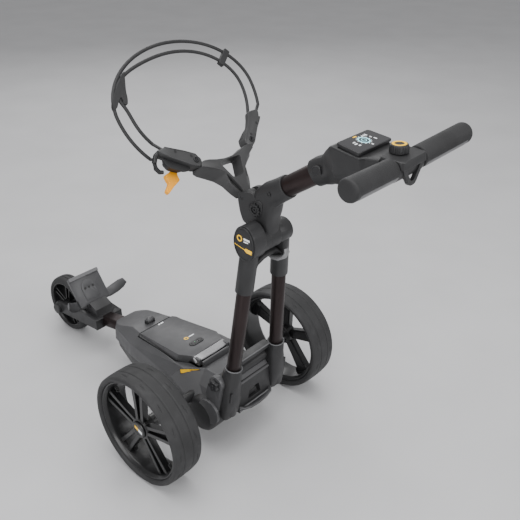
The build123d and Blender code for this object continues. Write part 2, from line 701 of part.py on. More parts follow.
def arm_pads():
    """Rubber facings on the arms' inner sides, against the bag."""
    pad = make_face(Polyline((128, 84), (142.5, 107.6), (172.4, 131.6), (175, 127), (146, 102), (133, 80),
                             close=True))
    return on_left_and_right(extrude(bracket_plane() * pad, amount=-33))


def strap_tensioner():
    """Black mechanism under the left arm that takes the strap's end."""
    low = bracket_plane().offset(-8)
    body = make_face(Polyline((116, 100), (140, 118), (160, 146), (150, 158), (124, 152), (106, 122),
                              close=True))
    pin = extrude(low * Pos(*TOGGLE_PIVOT) * Circle(4), amount=-38)
    return extrude(low * body, amount=-24) + pin - bracket_arm()


def strap_latch():
    """Amber toggle, a bent lever hinged on the tensioner."""
    low = bracket_plane().offset(-34.3)
    lever = make_face(Polyline((128, 104), (136, 128), (118, 136), (100, 158), (88, 150), (102, 130),
                               (112, 106), close=True))
    toggle = extrude(low * lever, amount=-11)
    return toggle - extrude(low * Pos(*TOGGLE_PIVOT) * Circle(4 + RUNNING), amount=20, both=True)


def strap_route(half_width, top_rise, low_rise, low_end):
    """Loop points: two half ovals about the loop's middle, from one arm round to the other."""
    plane = slanted(STRAP_CENTRE, STRAP_ANGLE)
    start = -math.asin(low_end / low_rise)
    stops = [start + (math.pi - 2 * start) * i / 14 for i in range(15)]
    points = []
    for t in stops:
        rise = top_rise if math.sin(t) > 0 else low_rise
        points.append(plane.from_local_coords((10 + rise * math.sin(t), half_width * math.cos(t), 0)))
    return points


def strap_tube(points):
    """Round strand along the route, with the largest arc that each corner's runs allow."""
    radii = []
    for before, corner, after in zip(points, points[1:], points[2:]):
        turn = math.radians((corner - before).get_angle(after - corner))
        run = min((corner - before).length, (after - corner).length)
        radii.append(0.45 * run / math.tan(turn / 2))
    path = FilletPolyline(*points, radius=radii)
    start = Plane(origin=points[0], z_dir=points[1] - points[0])
    return sweep(start * Circle(STRAP_R), path=path)


def bag_strap():
    """Outer and inner elastic strands of the bag strap."""
    outer = strap_tube(strap_route(197, 135, 178, 103))
    inner = strap_tube(strap_route(164, 110, 143, 80))
    return outer + inner + strap_clip() - on_left_and_right(bracket_arm())


def strap_clip():
    """Clip that ties the two strands together on the right, and the merge piece on the left."""
    plane = slanted(STRAP_CENTRE, STRAP_ANGLE)
    clip = extrude(plane * Pos(80, -146) * Rot(Z=-52) * Rectangle(42, 13), amount=6, both=True)
    merge = extrude(plane * Pos(38, 178) * Rot(Z=-8) * Rectangle(46, 34), amount=4, both=True)
    return clip + merge


# ---------------------------------------------------------------- output
def build_nodes():
    """Every sub-part by node name."""
    nodes = {
        "chassis_shell": chassis_shell(),
        "chassis_tray": chassis_tray(),
        "axle_housings": on_left_and_right(axle_housing()),
        "axle_bearings": on_left_and_right(axle_bearing(120) + axle_bearing(180)),
        "motor": motor(),
        "gearbox": gearbox(),
        "controller": controller(),
        "lower_pin_caps": lower_pin_caps(),
        "leg_pivot_shaft": leg_pivot_shaft(),
        "catch_mount": catch_mount(),
        "spine_hinge": spine_hinge(),
        "battery_case": battery_case(),
        "battery_lid": battery_lid(),
        "battery_cells": battery_cells(),
        "battery_handle": battery_handle(),
        "button_panel": button_panel(),
        "power_button": battery_button(-11),
        "gauge_button": battery_button(11),
        "battery_catch": battery_catch(),
        "front_spine": front_spine(),
        "front_fork": front_fork(),
        "front_axle": front_axle(),
        "bag_rest": bag_rest(),
        "bag_rest_ears": bag_rest_ears(),
        "front_tyre": front_tyre(),
        "front_rim": front_rim(),
        "leg_saddle": leg_saddle(),
        "leg_tubes": on_left_and_right(leg_tube()),
        "leg_heads": leg_head_left() + leg_head_right() - fold_caps(),
        "leg_bridge": leg_bridge(),
        "fold_caps": fold_caps(),
        "hinge_pin": hinge_pin(),
        "frame_latch": frame_latch(),
        "hinge_lever": hinge_lever(),
        "hinge_block": hinge_block(),
        "stem_tube": stem_tube(),
        "stem_boss": stem_boss(),
        "handle_neck": handle_neck(),
        "display_glass": display_glass(),
        "handle_bar": handle_bar(),
        "grips": on_left_and_right(grip()),
        "bar_hub": bar_hub(),
        "height_latch": height_latch(),
        "knob_core": knob_core(),
        "speed_knob": speed_knob(),
        "bracket_yoke": bracket_yoke(),
        "bracket_arms": on_left_and_right(bracket_arm()),
        "arm_pads": arm_pads(),
        "bracket_bolts": bracket_bolts(),
        "strap_tensioner": strap_tensioner(),
        "strap_latch": strap_latch(),
        "bag_strap": bag_strap(),
    }
    left_wheel = {
        "rear_tyre": rear_tyre(),
        "rear_rim": rear_rim(),
        "hub_cap": hub_cap(),
        "half_shaft": half_shaft(),
    }
    for name, part in left_wheel.items():
        nodes[name + "_left"] = part
        nodes[name + "_right"] = mirrored(part)
    return nodes


def main():
    os.makedirs("parts", exist_ok=True)
    for name, part in build_nodes().items():
        moved = TO_GROUND * part
        export_step(moved, os.path.join("parts", name + ".step"))


if __name__ == "__main__":
    main()
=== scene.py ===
import json
import math

import bmesh
import bpy
from mathutils import Matrix, Vector


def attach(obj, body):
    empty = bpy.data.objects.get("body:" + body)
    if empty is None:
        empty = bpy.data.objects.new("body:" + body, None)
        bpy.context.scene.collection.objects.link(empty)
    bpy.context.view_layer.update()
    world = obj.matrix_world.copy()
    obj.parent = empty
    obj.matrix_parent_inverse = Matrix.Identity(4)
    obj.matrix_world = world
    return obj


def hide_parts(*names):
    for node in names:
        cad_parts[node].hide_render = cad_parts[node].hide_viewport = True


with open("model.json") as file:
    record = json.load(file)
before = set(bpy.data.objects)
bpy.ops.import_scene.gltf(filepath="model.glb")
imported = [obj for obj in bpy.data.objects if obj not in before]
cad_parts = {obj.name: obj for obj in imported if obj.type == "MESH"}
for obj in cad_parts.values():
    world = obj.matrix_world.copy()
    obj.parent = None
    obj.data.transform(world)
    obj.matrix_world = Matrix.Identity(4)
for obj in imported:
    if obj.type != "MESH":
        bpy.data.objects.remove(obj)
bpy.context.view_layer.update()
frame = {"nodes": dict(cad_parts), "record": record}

NODES = frame["nodes"]
MM = 0.001

# ------------------------------------------------------------------ the datum
# Shapes are written in millimetres on the frame's own datum: rear axle at x = 0,
# z = AXLE_Z, x forwards, y to the left. DATUM sets them on the ground in the shared frame.
AXLE_Z = 148.0
FRONT_AXLE = (686.0, 106.0)
FRONT_R = 92.0
RAKE = math.asin((FRONT_AXLE[1] - FRONT_R) / FRONT_AXLE[0])
DATUM_SHIFT = -128.87
DATUM = (
    Matrix.Translation((DATUM_SHIFT * MM, 0, AXLE_Z * MM))
    @ Matrix.Rotation(RAKE, 4, "Y")
    @ Matrix.Translation((0, 0, -AXLE_Z * MM))
    @ Matrix.Scale(MM, 4)
)


# ------------------------------------------------------------------ camera
CAMERA_PLACE = Vector((-1.2158, 1.0358, 1.3186))
CAMERA_AIM = Vector((0.58795, -0.64781, -0.48441))
CAMERA_ROLL = math.radians(-0.5)
SENSOR = 36.0
LENS = 49.23
LENS_SHIFT = (-0.00327, 0.00288)


def make_camera():
    data = bpy.data.cameras.new("camera")
    data.sensor_width = SENSOR
    data.lens = LENS
    data.shift_x, data.shift_y = LENS_SHIFT
    camera = bpy.data.objects.new("camera", data)
    bpy.context.scene.collection.objects.link(camera)
    right = CAMERA_AIM.cross(Vector((0, 0, 1))).normalized()
    up = right.cross(CAMERA_AIM).normalized()
    rolled_right = math.cos(CAMERA_ROLL) * right + math.sin(CAMERA_ROLL) * up
    rolled_up = math.cos(CAMERA_ROLL) * up - math.sin(CAMERA_ROLL) * right
    turn = Matrix((rolled_right, rolled_up, -CAMERA_AIM)).transposed().to_4x4()
    camera.matrix_world = Matrix.Translation(CAMERA_PLACE) @ turn
    bpy.context.scene.camera = camera


make_camera()


# ------------------------------------------------------------------ materials
class Nodes:
    """Small helper that adds shader nodes and links them."""

    def __init__(self, name):
        self.material = bpy.data.materials.new(name)
        self.material.use_nodes = True
        self.tree = self.material.node_tree
        self.shader = self.tree.nodes["Principled BSDF"]
        self.place = self.add("ShaderNodeTexCoord").outputs["Object"]

    def add(self, kind, **values):
        node = self.tree.nodes.new(kind)
        for key, value in values.items():
            setattr(node, key, value)
        return node

    def link(self, source, target):
        self.tree.links.new(source, target)

    def stretched(self, scale):
        mapping = self.add("ShaderNodeMapping")
        mapping.inputs["Scale"].default_value = scale
        self.link(self.place, mapping.inputs["Vector"])
        return mapping.outputs["Vector"]

    def noise(self, scale, detail=3.0, vector=None):
        node = self.add("ShaderNodeTexNoise")
        node.inputs["Scale"].default_value = scale
        node.inputs["Detail"].default_value = detail
        self.link(vector or self.place, node.inputs["Vector"])
        return node.outputs["Fac"]

    def ramp(self, source, low, high, start=0.0, end=1.0):
        node = self.add("ShaderNodeMapRange")
        node.inputs["From Min"].default_value = low
        node.inputs["From Max"].default_value = high
        node.inputs["To Min"].default_value = start
        node.inputs["To Max"].default_value = end
        self.link(source, node.inputs["Value"])
        return node.outputs["Result"]

    def cloud(self, scale, detail, low=0.3, high=0.7, start=0.0, end=1.0):
        """Soft patches of noise, from start to end."""
        return self.ramp(self.noise(scale, detail), low, high, start, end)

    def mix(self, share, colour_a, colour_b):
        node = self.add("ShaderNodeMix", data_type="RGBA")
        for socket, value in ((node.inputs[6], colour_a), (node.inputs[7], colour_b)):
            if isinstance(value, bpy.types.NodeSocket):
                self.link(value, socket)
            else:
                socket.default_value = (*value, 1)
        self.link(share, node.inputs[0])
        return node.outputs[2]

    def edges(self, radius):
        """0 on flat faces, rising towards 1 on edges rounder than radius."""
        rounded = self.add("ShaderNodeBevel", samples=3)
        rounded.inputs["Radius"].default_value = radius
        geometry = self.add("ShaderNodeNewGeometry")
        dot = self.add("ShaderNodeVectorMath", operation="DOT_PRODUCT")
        self.link(rounded.outputs["Normal"], dot.inputs[0])
        self.link(geometry.outputs["Normal"], dot.inputs[1])
        return self.ramp(dot.outputs["Value"], 0.995, 0.86)

    def bump(self, height, strength, distance):
        node = self.add("ShaderNodeBump")
        node.inputs["Strength"].default_value = strength
        node.inputs["Distance"].default_value = distance
        self.link(height, node.inputs["Height"])
        self.link(node.outputs["Normal"], self.shader.inputs["Normal"])


def scaled(colour, factor):
    return tuple(min(1.0, channel * factor) for channel in colour)


def moulded(name, colour, rough, grain=900.0, depth=0.00012, edge_wear_and_highlight=0.35, metallic=0.0, coat=0.0, blotch=0.12):
    """Moulded or coated surface: fine grain, cloudy tone, lighter edges that are partly wear and partly
    painted highlight, uneven sheen.
    """
    n = Nodes(name)
    tone = n.mix(n.cloud(14.0, 4.0), scaled(colour, 1 - blotch), scaled(colour, 1 + blotch))
    speck = n.cloud(grain * 0.7, 2.0, 0.35, 0.65)
    tone = n.mix(n.ramp(speck, 0, 1, 0.0, 0.25), tone, scaled(colour, 1.5))
    if edge_wear_and_highlight:
        # Edges are lightened to three times the colour in scuffed patches: partly edge wear, partly a painted
        # highlight on rounded edges.
        scuff = n.cloud(60.0, 5.0, 0.35, 0.6)
        edge = n.add("ShaderNodeMath", operation="MULTIPLY")
        n.link(n.edges(0.0012), edge.inputs[0])
        n.link(n.ramp(scuff, 0, 1, edge_wear_and_highlight * 0.4, edge_wear_and_highlight), edge.inputs[1])
        tone = n.mix(edge.outputs[0], tone, scaled(colour, 3.0))
    n.link(tone, n.shader.inputs["Base Color"])
    n.link(n.cloud(38.0, 4.0, 0.3, 0.7, rough - 0.06, rough + 0.08), n.shader.inputs["Roughness"])
    n.shader.inputs["Metallic"].default_value = metallic
    n.shader.inputs["Coat Weight"].default_value = coat
    n.shader.inputs["Coat Roughness"].default_value = 0.12
    n.bump(n.noise(grain, 2.0), 0.5, depth)
    return n.material


def anodised(name, colour, along, rough=0.34):
    """Anodised tube: faint drawn lines along it, and a soft metallic sheen."""
    n = Nodes(name)
    lines = n.noise(420.0, 3.0, n.stretched(along))
    tone = n.mix(n.cloud(9.0, 3.0), scaled(colour, 0.85), scaled(colour, 1.2))
    tone = n.mix(n.ramp(lines, 0.35, 0.65, 0.0, 0.35), tone, scaled(colour, 1.7))
    n.link(tone, n.shader.inputs["Base Color"])
    n.link(n.ramp(lines, 0.3, 0.7, rough - 0.05, rough + 0.1), n.shader.inputs["Roughness"])
    n.shader.inputs["Metallic"].default_value = 0.75
    n.bump(lines, 0.25, 0.00008)
    return n.material


def rubber(name, colour, rough, pattern=700.0, depth=0.0003, dust=0.25):
    """Rubber: fine pitted texture with dusty, paler patches."""
    n = Nodes(name)
    pits = n.add("ShaderNodeTexVoronoi")
    pits.inputs["Scale"].default_value = pattern
    n.link(n.place, pits.inputs["Vector"])
    tone = n.mix(n.cloud(11.0, 5.0, 0.35, 0.7), scaled(colour, 0.82), scaled(colour, 1.15))
    tone = n.mix(n.cloud(45.0, 6.0, 0.52, 0.75, 0.0, dust), tone, scaled(colour, 1.9))
    n.link(tone, n.shader.inputs["Base Color"])
    n.link(n.cloud(30.0, 4.0, 0.3, 0.7, rough - 0.08, rough + 0.08), n.shader.inputs["Roughness"])
    n.shader.inputs["Specular IOR Level"].default_value = 0.35
    n.bump(pits.outputs["Distance"], 0.5, depth)
    return n.material


def lit(name, colour, strength):
    """Graphic with emission, with a faint grid of print dots: on printed marks the emission is a painted
    glow, on the gauge's green light it is a lamp.
    """
    n = Nodes(name)
    n.link(n.mix(n.cloud(1500.0, 1.0), scaled(colour, 0.9), colour), n.shader.inputs["Base Color"])
    n.shader.inputs["Roughness"].default_value = 0.4
    # Emission: a painted glow on the printed marks.
    n.shader.inputs["Emission Color"].default_value = (*colour, 1)
    n.shader.inputs["Emission Strength"].default_value = strength
    return n.material


LEG_LINES = (1.0, 1.0, 0.03)
STEM_LINES = (0.05, 1.0, 0.05)
MATERIALS = {
    "housing": moulded("housing_grey", (0.07, 0.07, 0.073), 0.42, 1100, 0.00006, 0.3, 0.25),
    "casting": moulded("casting_dark", (0.022, 0.022, 0.023), 0.45, 1000, 0.0001, 0.4, 0.15),
    "anodised": anodised("tube_bronze", (0.028, 0.02, 0.02), LEG_LINES),
    "stem_tube": anodised("tube_bronze_stem", (0.03, 0.021, 0.021), STEM_LINES),
    "steel": anodised("turned_steel", (0.16, 0.16, 0.165), (1.0, 0.05, 1.0), 0.3),
    "rim_gloss": moulded("rim_black", (0.006, 0.006, 0.0065), 0.32, 700, 0.00003, 0.06, 0.0, 0.15),
    "tyre": rubber("tyre_rubber", (0.03, 0.03, 0.031), 0.62),
    "pale_plastic": moulded("pale_plastic", (0.36, 0.36, 0.37), 0.34, 900, 0.00005, 0.15, 0.3),
    "black_plastic": moulded("black_plastic", (0.012, 0.012, 0.013), 0.45),
    "grip_rubber": rubber("grip_rubber", (0.024, 0.024, 0.025), 0.6, 1300, 0.0004, 0.1),
    "display": moulded("display_black", (0.012, 0.012, 0.014), 0.12, 300, 0.00001, 0.1, 0.0, 0.8),
    "accent": moulded("amber_plastic", (1.0, 0.36, 0.005), 0.4, 900, 0.00005, 0.1),
    "strap_elastic": rubber("strap_rubber", (0.022, 0.022, 0.023), 0.5, 1600, 0.0002, 0.15),
    # The yellow, white and cyan prints carry a painted glow from emission; the green light is a lamp.
    "yellow_print": lit("yellow_print", (0.95, 0.55, 0.005), 0.35),
    "white_print": lit("white_print", (0.8, 0.82, 0.84), 0.3),
    "cyan_print": lit("cyan_print", (0.35, 0.75, 0.85), 0.7),
    "green_light": lit("green_light", (0.15, 0.8, 0.3), 1.2),
    "bracket_grey": moulded("bracket_grey", (0.042, 0.042, 0.043), 0.45, 1000, 0.0001, 0.35, 0.15),
    "lever_grey": moulded("lever_grey", (0.2, 0.2, 0.205), 0.4, 900, 0.00005, 0.15),
    "edge_grey": moulded("edge_grey", (0.12, 0.12, 0.125), 0.35),
    "bolt_dark": moulded("bolt_dark", (0.03, 0.03, 0.032), 0.3, 900, 0.00005, 0.3, 0.6),
    "strip_grey": moulded("strip_grey", (0.1, 0.1, 0.104), 0.35),
    "cell": moulded("cell_sleeve", (0.1, 0.2, 0.35), 0.3),
    "board": moulded("circuit_board", (0.03, 0.12, 0.06), 0.5),
}


# ------------------------------------------------------------------ CAD nodes
def dress_cad_nodes():
    """Softens each CAD node's edges and gives it its slot's material."""
    slots = {entry["node"]: entry["material_slot"] for entry in frame["record"]["subparts"]}
    for name, node in NODES.items():
        node.data.materials.clear()
        key = "stem_tube" if name == "stem_tube" else slots[name]
        node.data.materials.append(MATERIALS[key])
        node.modifiers.new("merge", "WELD").merge_threshold = 0.00001
        flat = node.modifiers.new("flat", "DECIMATE")
        flat.decimate_type = "DISSOLVE"
        flat.angle_limit = math.radians(0.6)
        soft = node.modifiers.new("soft", "BEVEL")
        soft.width = 0.0012
        soft.segments = 2
        soft.limit_method = "ANGLE"
        soft.angle_limit = math.radians(28)
        soft.harden_normals = True
        for polygon in node.data.polygons:
            polygon.use_smooth = True


dress_cad_nodes()


# ------------------------------------------------------------------ mesh building
class Shape:
    """Vertices in datum millimetres and faces, gathered from simple forms."""

    def __init__(self):
        self.verts = []
        self.faces = []

    def add(self, verts, faces):
        start = len(self.verts)
        self.verts += [tuple(v) for v in verts]
        self.faces += [tuple(start + i for i in face) for face in faces]
        return self

    def join(self, other):
        return self.add(other.verts, other.faces)

    def mirrored(self):
        flipped = Shape()
        flipped.verts = [(x, -y, z) for x, y, z in self.verts]
        flipped.faces = [tuple(reversed(face)) for face in self.faces]
        return flipped


def both_sides(shape):
    return Shape().join(shape).join(shape.mirrored())


def loft(rings, closed_ends=True, wrap=False):
    """Skin over rings with the same number of points; wrap joins the last ring to the first."""
    count = len(rings[0])
    verts = [point for ring in rings for point in ring]
    faces = []
    spans = len(rings) if wrap else len(rings) - 1
    for r in range(spans):
        here, there = r * count, ((r + 1) % len(rings)) * count
        for i in range(count):
            j = (i + 1) % count
            faces.append((here + i, here + j, there + j, there + i))
    if closed_ends and not wrap:
        faces.append(tuple(reversed(range(count))))
        faces.append(tuple(range((len(rings) - 1) * count, len(rings) * count)))
    return Shape().add(verts, faces)


def lathe(profile, x=0.0, z=AXLE_Z, segments=96, reach=None):
    """Closed profile of (y, radius) turned about the sideways axis through (x, z).

    reach, if given, changes a point's radius from its angle, y and radius.
    """
    rings = []
    for s in range(segments):
        angle = 2 * math.pi * s / segments
        ring = []
        for y, radius in profile:
            r = reach(angle, y, radius) if reach else radius
            ring.append((x + r * math.cos(angle), y, z + r * math.sin(angle)))
        rings.append(ring)
    return loft(rings, wrap=True)


def stack(outline, place, levels):
    """Skin over copies of an outline of (u, v) points; each level is (w, u scale, v scale).

    place turns (u, v, w) into a point.
    """
    return loft([[place(u * scale_u, v * scale_v, w) for u, v in outline] for w, scale_u, scale_v in levels])


def prism(outline, low, high, place):
    """Outline of (u, v) points, solid from w = low to w = high."""
    return stack(outline, place, [(low, 1, 1), (high, 1, 1)])


def side_place(u, v, w):
    """Outlines drawn as (x, z), extruded along y."""
    return (u, w, v)


def sloped_place(origin_xz, angle):
    """Outlines drawn as (s, y) on a slope that holds y; w is square to it, upwards."""
    slope = math.radians(angle)
    c, s = math.cos(slope), math.sin(slope)
    return lambda u, v, w: (origin_xz[0] + u * c - w * s, v, origin_xz[1] + u * s + w * c)


def oval(centre, across_axis, up_axis, half_width, half_height, power=2.0, count=40):
    """Ring of points on a superellipse; a higher power gives squarer corners."""
    ring = []
    for i in range(count):
        angle = 2 * math.pi * (i + 0.5) / count
        c, s = math.cos(angle), math.sin(angle)
        u = half_width * math.copysign(abs(c) ** (2 / power), c)
        v = half_height * math.copysign(abs(s) ** (2 / power), s)
        ring.append(tuple(Vector(centre) + u * Vector(across_axis) + v * Vector(up_axis)))
    return ring


def arc_points(centre, radius, start, end, count):
    """Points (u, v) on an arc between two angles in degrees."""
    points = []
    for i in range(count):
        angle = math.radians(start + (end - start) * i / (count - 1))
        points.append((centre[0] + radius * math.cos(angle), centre[1] + radius * math.sin(angle)))
    return points


def ring_sector(centre, outside, inside, start, end, count):
    """Outline of a part of a flat ring, between two angles in degrees."""
    inner = arc_points(centre, inside, start, end, count)
    return arc_points(centre, outside, start, end, count) + inner[::-1]


def rounded(outline, radius, steps=4):
    """The outline with each corner rounded."""
    points = []
    for i, corner in enumerate(outline):
        corner = Vector(corner)
        before, after = Vector(outline[i - 1]), Vector(outline[(i + 1) % len(outline)])
        to_before, to_after = (before - corner), (after - corner)
        cut = min(radius, 0.45 * to_before.length, 0.45 * to_after.length)
        start = corner + to_before.normalized() * cut
        end = corner + to_after.normalized() * cut
        for s in range(steps + 1):
            t = s / steps
            points.append(tuple((1 - t) ** 2 * start + 2 * t * (1 - t) * corner + t * t * end))
    return points


def tube(points, radii, sides=14, flatten=1.0, flat_axis=(0, 0, 1)):
    """Round bar along points; flatten under 1 squeezes it along flat_axis."""
    points = [Vector(p) for p in points]
    if not isinstance(radii, (list, tuple)):
        radii = [radii] * len(points)
    rings = []
    for i, point in enumerate(points):
        ahead = points[min(i + 1, len(points) - 1)] - points[max(i - 1, 0)]
        thin = Vector(flat_axis) - Vector(flat_axis).project(ahead)
        thin.normalize()
        wide = ahead.normalized().cross(thin)
        rings.append(oval(point, wide, thin, radii[i], radii[i] * flatten, count=sides))
    return loft(rings)


def make_piece(name, shape, body, key, slot=None, replaces=(), bevel=0.0, angle=30.0):
    """Mesh object from a shape: placed on the ground, dressed, and riding on its body."""
    mesh = bpy.data.meshes.new(name)
    mesh.from_pydata([DATUM @ Vector(v) for v in shape.verts], [], shape.faces)
    clean = bmesh.new()
    clean.from_mesh(mesh)
    bmesh.ops.remove_doubles(clean, verts=clean.verts, dist=0.00002)
    bmesh.ops.recalc_face_normals(clean, faces=clean.faces)
    clean.to_mesh(mesh)
    clean.free()
    mesh.materials.append(MATERIALS[key])
    piece = bpy.data.objects.new(name, mesh)
    bpy.context.scene.collection.objects.link(piece)
    mesh.polygons.foreach_set("use_smooth", [True] * len(mesh.polygons))
    if bevel:
        soft = piece.modifiers.new("soft", "BEVEL")
        soft.width = bevel * MM
        soft.segments = 2
        soft.limit_method = "ANGLE"
        soft.angle_limit = math.radians(angle)
        soft.harden_normals = True
    else:
        mesh.set_sharp_from_angle(angle=math.radians(angle))
    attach(piece, body)
    slot or key
    if replaces:
        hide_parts(*replaces)
    return piece


# ------------------------------------------------------------------ wheels
REAR_Y = 252.0
REAR_R = 148.0
TYRE_HALF = [(34.5, 131.2), (38.0, 132.6), (40.8, 135.2), (42.2, 138.4), (42.2, 141.4), (40.6, 144.0),
             (37.6, 145.9)]
TREAD_EDGE = 34.5
TREAD_STEPS = 44
GROOVES = (-13.0, 14.0)
SLOTS_ROUND = 14
SPOKE_PHASE = 20.0


def tread_depth(angle, y):
    """How deep the tread is cut at an angle and a distance from the tyre's middle."""
    depth = 0.0
    for groove in GROOVES:
        depth = max(depth, 1.6 * math.exp(-(((y - groove) / 1.1) ** 2)))
    for side in (-1, 1):
        turns = angle / (2 * math.pi) * SLOTS_ROUND + 0.25 * (1 + side)
        along = (turns - math.floor(turns) - 0.5) * 2 * math.pi * REAR_R / SLOTS_ROUND
        aside = y - side * (26.0 + 0.12 * along)
        inside = (along / 13.0) ** 2 + (aside / 2.2) ** 2
        depth = max(depth, 1.8 * max(0.0, 1 - inside) ** 0.5)
    return depth


def rear_tyre():
    """Low-profile tyre with two grooves and rows of short slots."""
    crown = []
    for i in range(TREAD_STEPS + 1):
        y = 35.0 - 70.0 * i / TREAD_STEPS
        crown.append((y, REAR_R - 2.0 * (abs(y) / 36.0) ** 3.2))
    inner = [(-y, r) for y, r in reversed(TYRE_HALF)]
    profile = [(REAR_Y + y, r) for y, r in TYRE_HALF + crown + inner]

    def reach(angle, y, radius):
        offset = y - REAR_Y
        on_tread = abs(offset) < TREAD_EDGE and radius > REAR_R - 4.0
        return radius - tread_depth(angle, offset) if on_tread else radius

    return lathe(profile, segments=360, reach=reach)


def turned_plate(outline, y0, y1, angle, x=0.0, z=AXLE_Z):
    """Plate drawn along a spoke as (out, aside), turned about the axle."""
    a = math.radians(angle)
    out, aside = (math.cos(a), math.sin(a)), (-math.sin(a), math.cos(a))

    def place(u, v, w):
        return (x + u * out[0] + v * aside[0], w, z + u * out[1] + v * aside[1])

    return prism(outline, y0, y1, place)


def rear_rim():
    """Barrel with rolled lips, a small hub and five channel spokes."""
    barrel = [(35.4, 130.4), (34.8, 127.6), (32.0, 125.6), (29.0, 123.0), (26.0, 121.6), (-27.0, 121.0),
              (-31.0, 124.0), (-34.2, 126.6), (-35.2, 129.4), (-34.0, 131.0), (-30.0, 131.0), (30.0, 131.0),
              (34.0, 131.0)]
    rim = lathe([(REAR_Y + y, r) for y, r in barrel], segments=144)
    hub = [(-44.0, 8.0), (-44.0, 17.0), (-8.0, 18.0), (-4.0, 27.0), (19.0, 29.5), (23.5, 27.0), (24.5, 22.5),
           (22.0, 22.0), (22.0, 8.0)]
    rim.join(lathe([(REAR_Y + y, r) for y, r in hub], segments=72))
    for i in range(5):
        angle = SPOKE_PHASE + 72 * i
        for side in (-1, 1):
            rib = [(18, side * 3.5), (18, side * 13.5), (70, side * 16.0), (122.5, side * 20.5),
                   (122.5, side * 9.5), (70, side * 6.0)]
            rim.join(turned_plate(rib, REAR_Y + 6, REAR_Y + 23, angle))
        web = [(18, -10), (122, -15), (122, 15), (18, 10)]
        rim.join(turned_plate(web, REAR_Y + 4, REAR_Y + 15, angle))
        foot = [(106, -20), (122.6, -27), (122.6, 27), (106, 20)]
        rim.join(turned_plate(foot, REAR_Y + 2, REAR_Y + 11, angle))
    return rim


def hub_cap():
    """Dished cap over the hub."""
    cap = [(23.0, 0.0), (23.0, 22.0), (27.5, 22.0), (29.4, 20.2), (29.9, 17.0), (28.9, 14.5), (28.9, 0.0)]
    return lathe([(REAR_Y + y, r) for y, r in cap], segments=72)


def hub_mark(low, high):
    """One slanted bar of the mark on the hub cap."""
    outline = [(low, -3.6), (high, -3.6), (high + 2.0, 3.6), (low + 2.0, 3.6)]
    turn = math.radians(24)
    c, s = math.cos(turn), math.sin(turn)
    spun = [(u * c - v * s, AXLE_Z + u * s + v * c) for u, v in outline]
    return prism(spun, REAR_Y + 28.7, REAR_Y + 29.3, side_place)


def make_rear_wheels():
    for side in ("left", "right"):
        body = "rear_wheel_" + side
        for name, shape, key, node, bevel in (
            ("tread_tyre_", rear_tyre(), "tyre", "rear_tyre_", 0),
            ("spoked_rim_", rear_rim(), "rim_gloss", "rear_rim_", 1.0),
            ("dished_cap_", hub_cap(), "rim_gloss", "hub_cap_", 0),
            ("cap_mark_a_", hub_mark(0.5, 12.5), "yellow_print", None, 0),
            ("cap_mark_b_", hub_mark(-14.5, -1.0), "white_print", None, 0),
        ):
            shown = shape if side == "left" else shape.mirrored()
            slot = "rim_gloss" if node is None else key
            make_piece(name + side, shown, body, key, slot, [node + side] if node else (), bevel)


def make_front_wheel():
    x, z = FRONT_AXLE
    half = [(23.0, 75.1), (24.4, 77.0), (24.8, 80.0), (23.6, 84.0), (20.6, 87.8), (16.0, 90.3), (10.0, 91.6),
            (8.2, 91.7), (7.4, 90.4), (6.0, 90.4), (5.2, 91.9), (0.0, 92.0)]
    profile = half + [(-y, r) for y, r in reversed(half[:-1])]
    make_piece("front_tread_tyre", lathe(profile, x, z, 144), "front_wheel", "tyre", replaces=["front_tyre"])
    barrel = [(23.2, 74.0), (22.2, 71.4), (17.0, 69.6), (-17.0, 69.6), (-22.2, 71.4), (-23.2, 74.0),
              (-22.0, 75.0), (22.0, 75.0)]
    rim = lathe(barrel, x, z, 120)
    hub = [(-34.0, 6.1), (-34.0, 14.0), (-18.0, 17.0), (18.0, 17.0), (34.0, 14.0), (34.0, 6.1)]
    rim.join(lathe(hub, x, z, 60))
    for i in range(5):
        angle = SPOKE_PHASE + 8 + 72 * i
        for side in (-1, 1):
            rib = [(12, side * 4.5), (12, side * 8), (71, side * 11), (71, side * 7)]
            rim.join(turned_plate(rib, -16, 16, angle, x, z))
        web = [(12, -6), (71, -9), (71, 9), (12, 6)]
        rim.join(turned_plate(web, -8, 8, angle, x, z))
    make_piece("front_spoked_rim", rim, "front_wheel", "rim_gloss", replaces=["front_rim"], bevel=0.7)


make_rear_wheels()
make_front_wheel()


# ------------------------------------------------------------------ handle
STEM_ELBOW = (-158.0, 693.0)
STEM_ANGLE = 147.0
BAR = (-496.0, 850.0)
BAR_END = (-513.0, 188.0, 865.0)
KNOB_X = BAR[0] + 8
PANEL_MIDDLE = (-414.5, 877.5)
PANEL_TILT = 8.5


def stem_point(station, lift=0.0):
    """Point (x, z) at a station along the stem; lift is upwards, square to it."""
    a = math.radians(STEM_ANGLE)
    return (STEM_ELBOW[0] + station * math.cos(a) + lift * math.sin(a),
            STEM_ELBOW[1] + station * math.sin(a) - lift * math.cos(a))


def section(x, z, lean, high, middle, low, soft):
    """Six-cornered section; high, middle and low are (half width, height from z)."""
    half = [high, middle, low]
    outline = half + [(-y, up) for y, up in reversed(half)]
    return [(x + lean * v, u, z + v) for u, v in rounded(outline, soft, 6)]


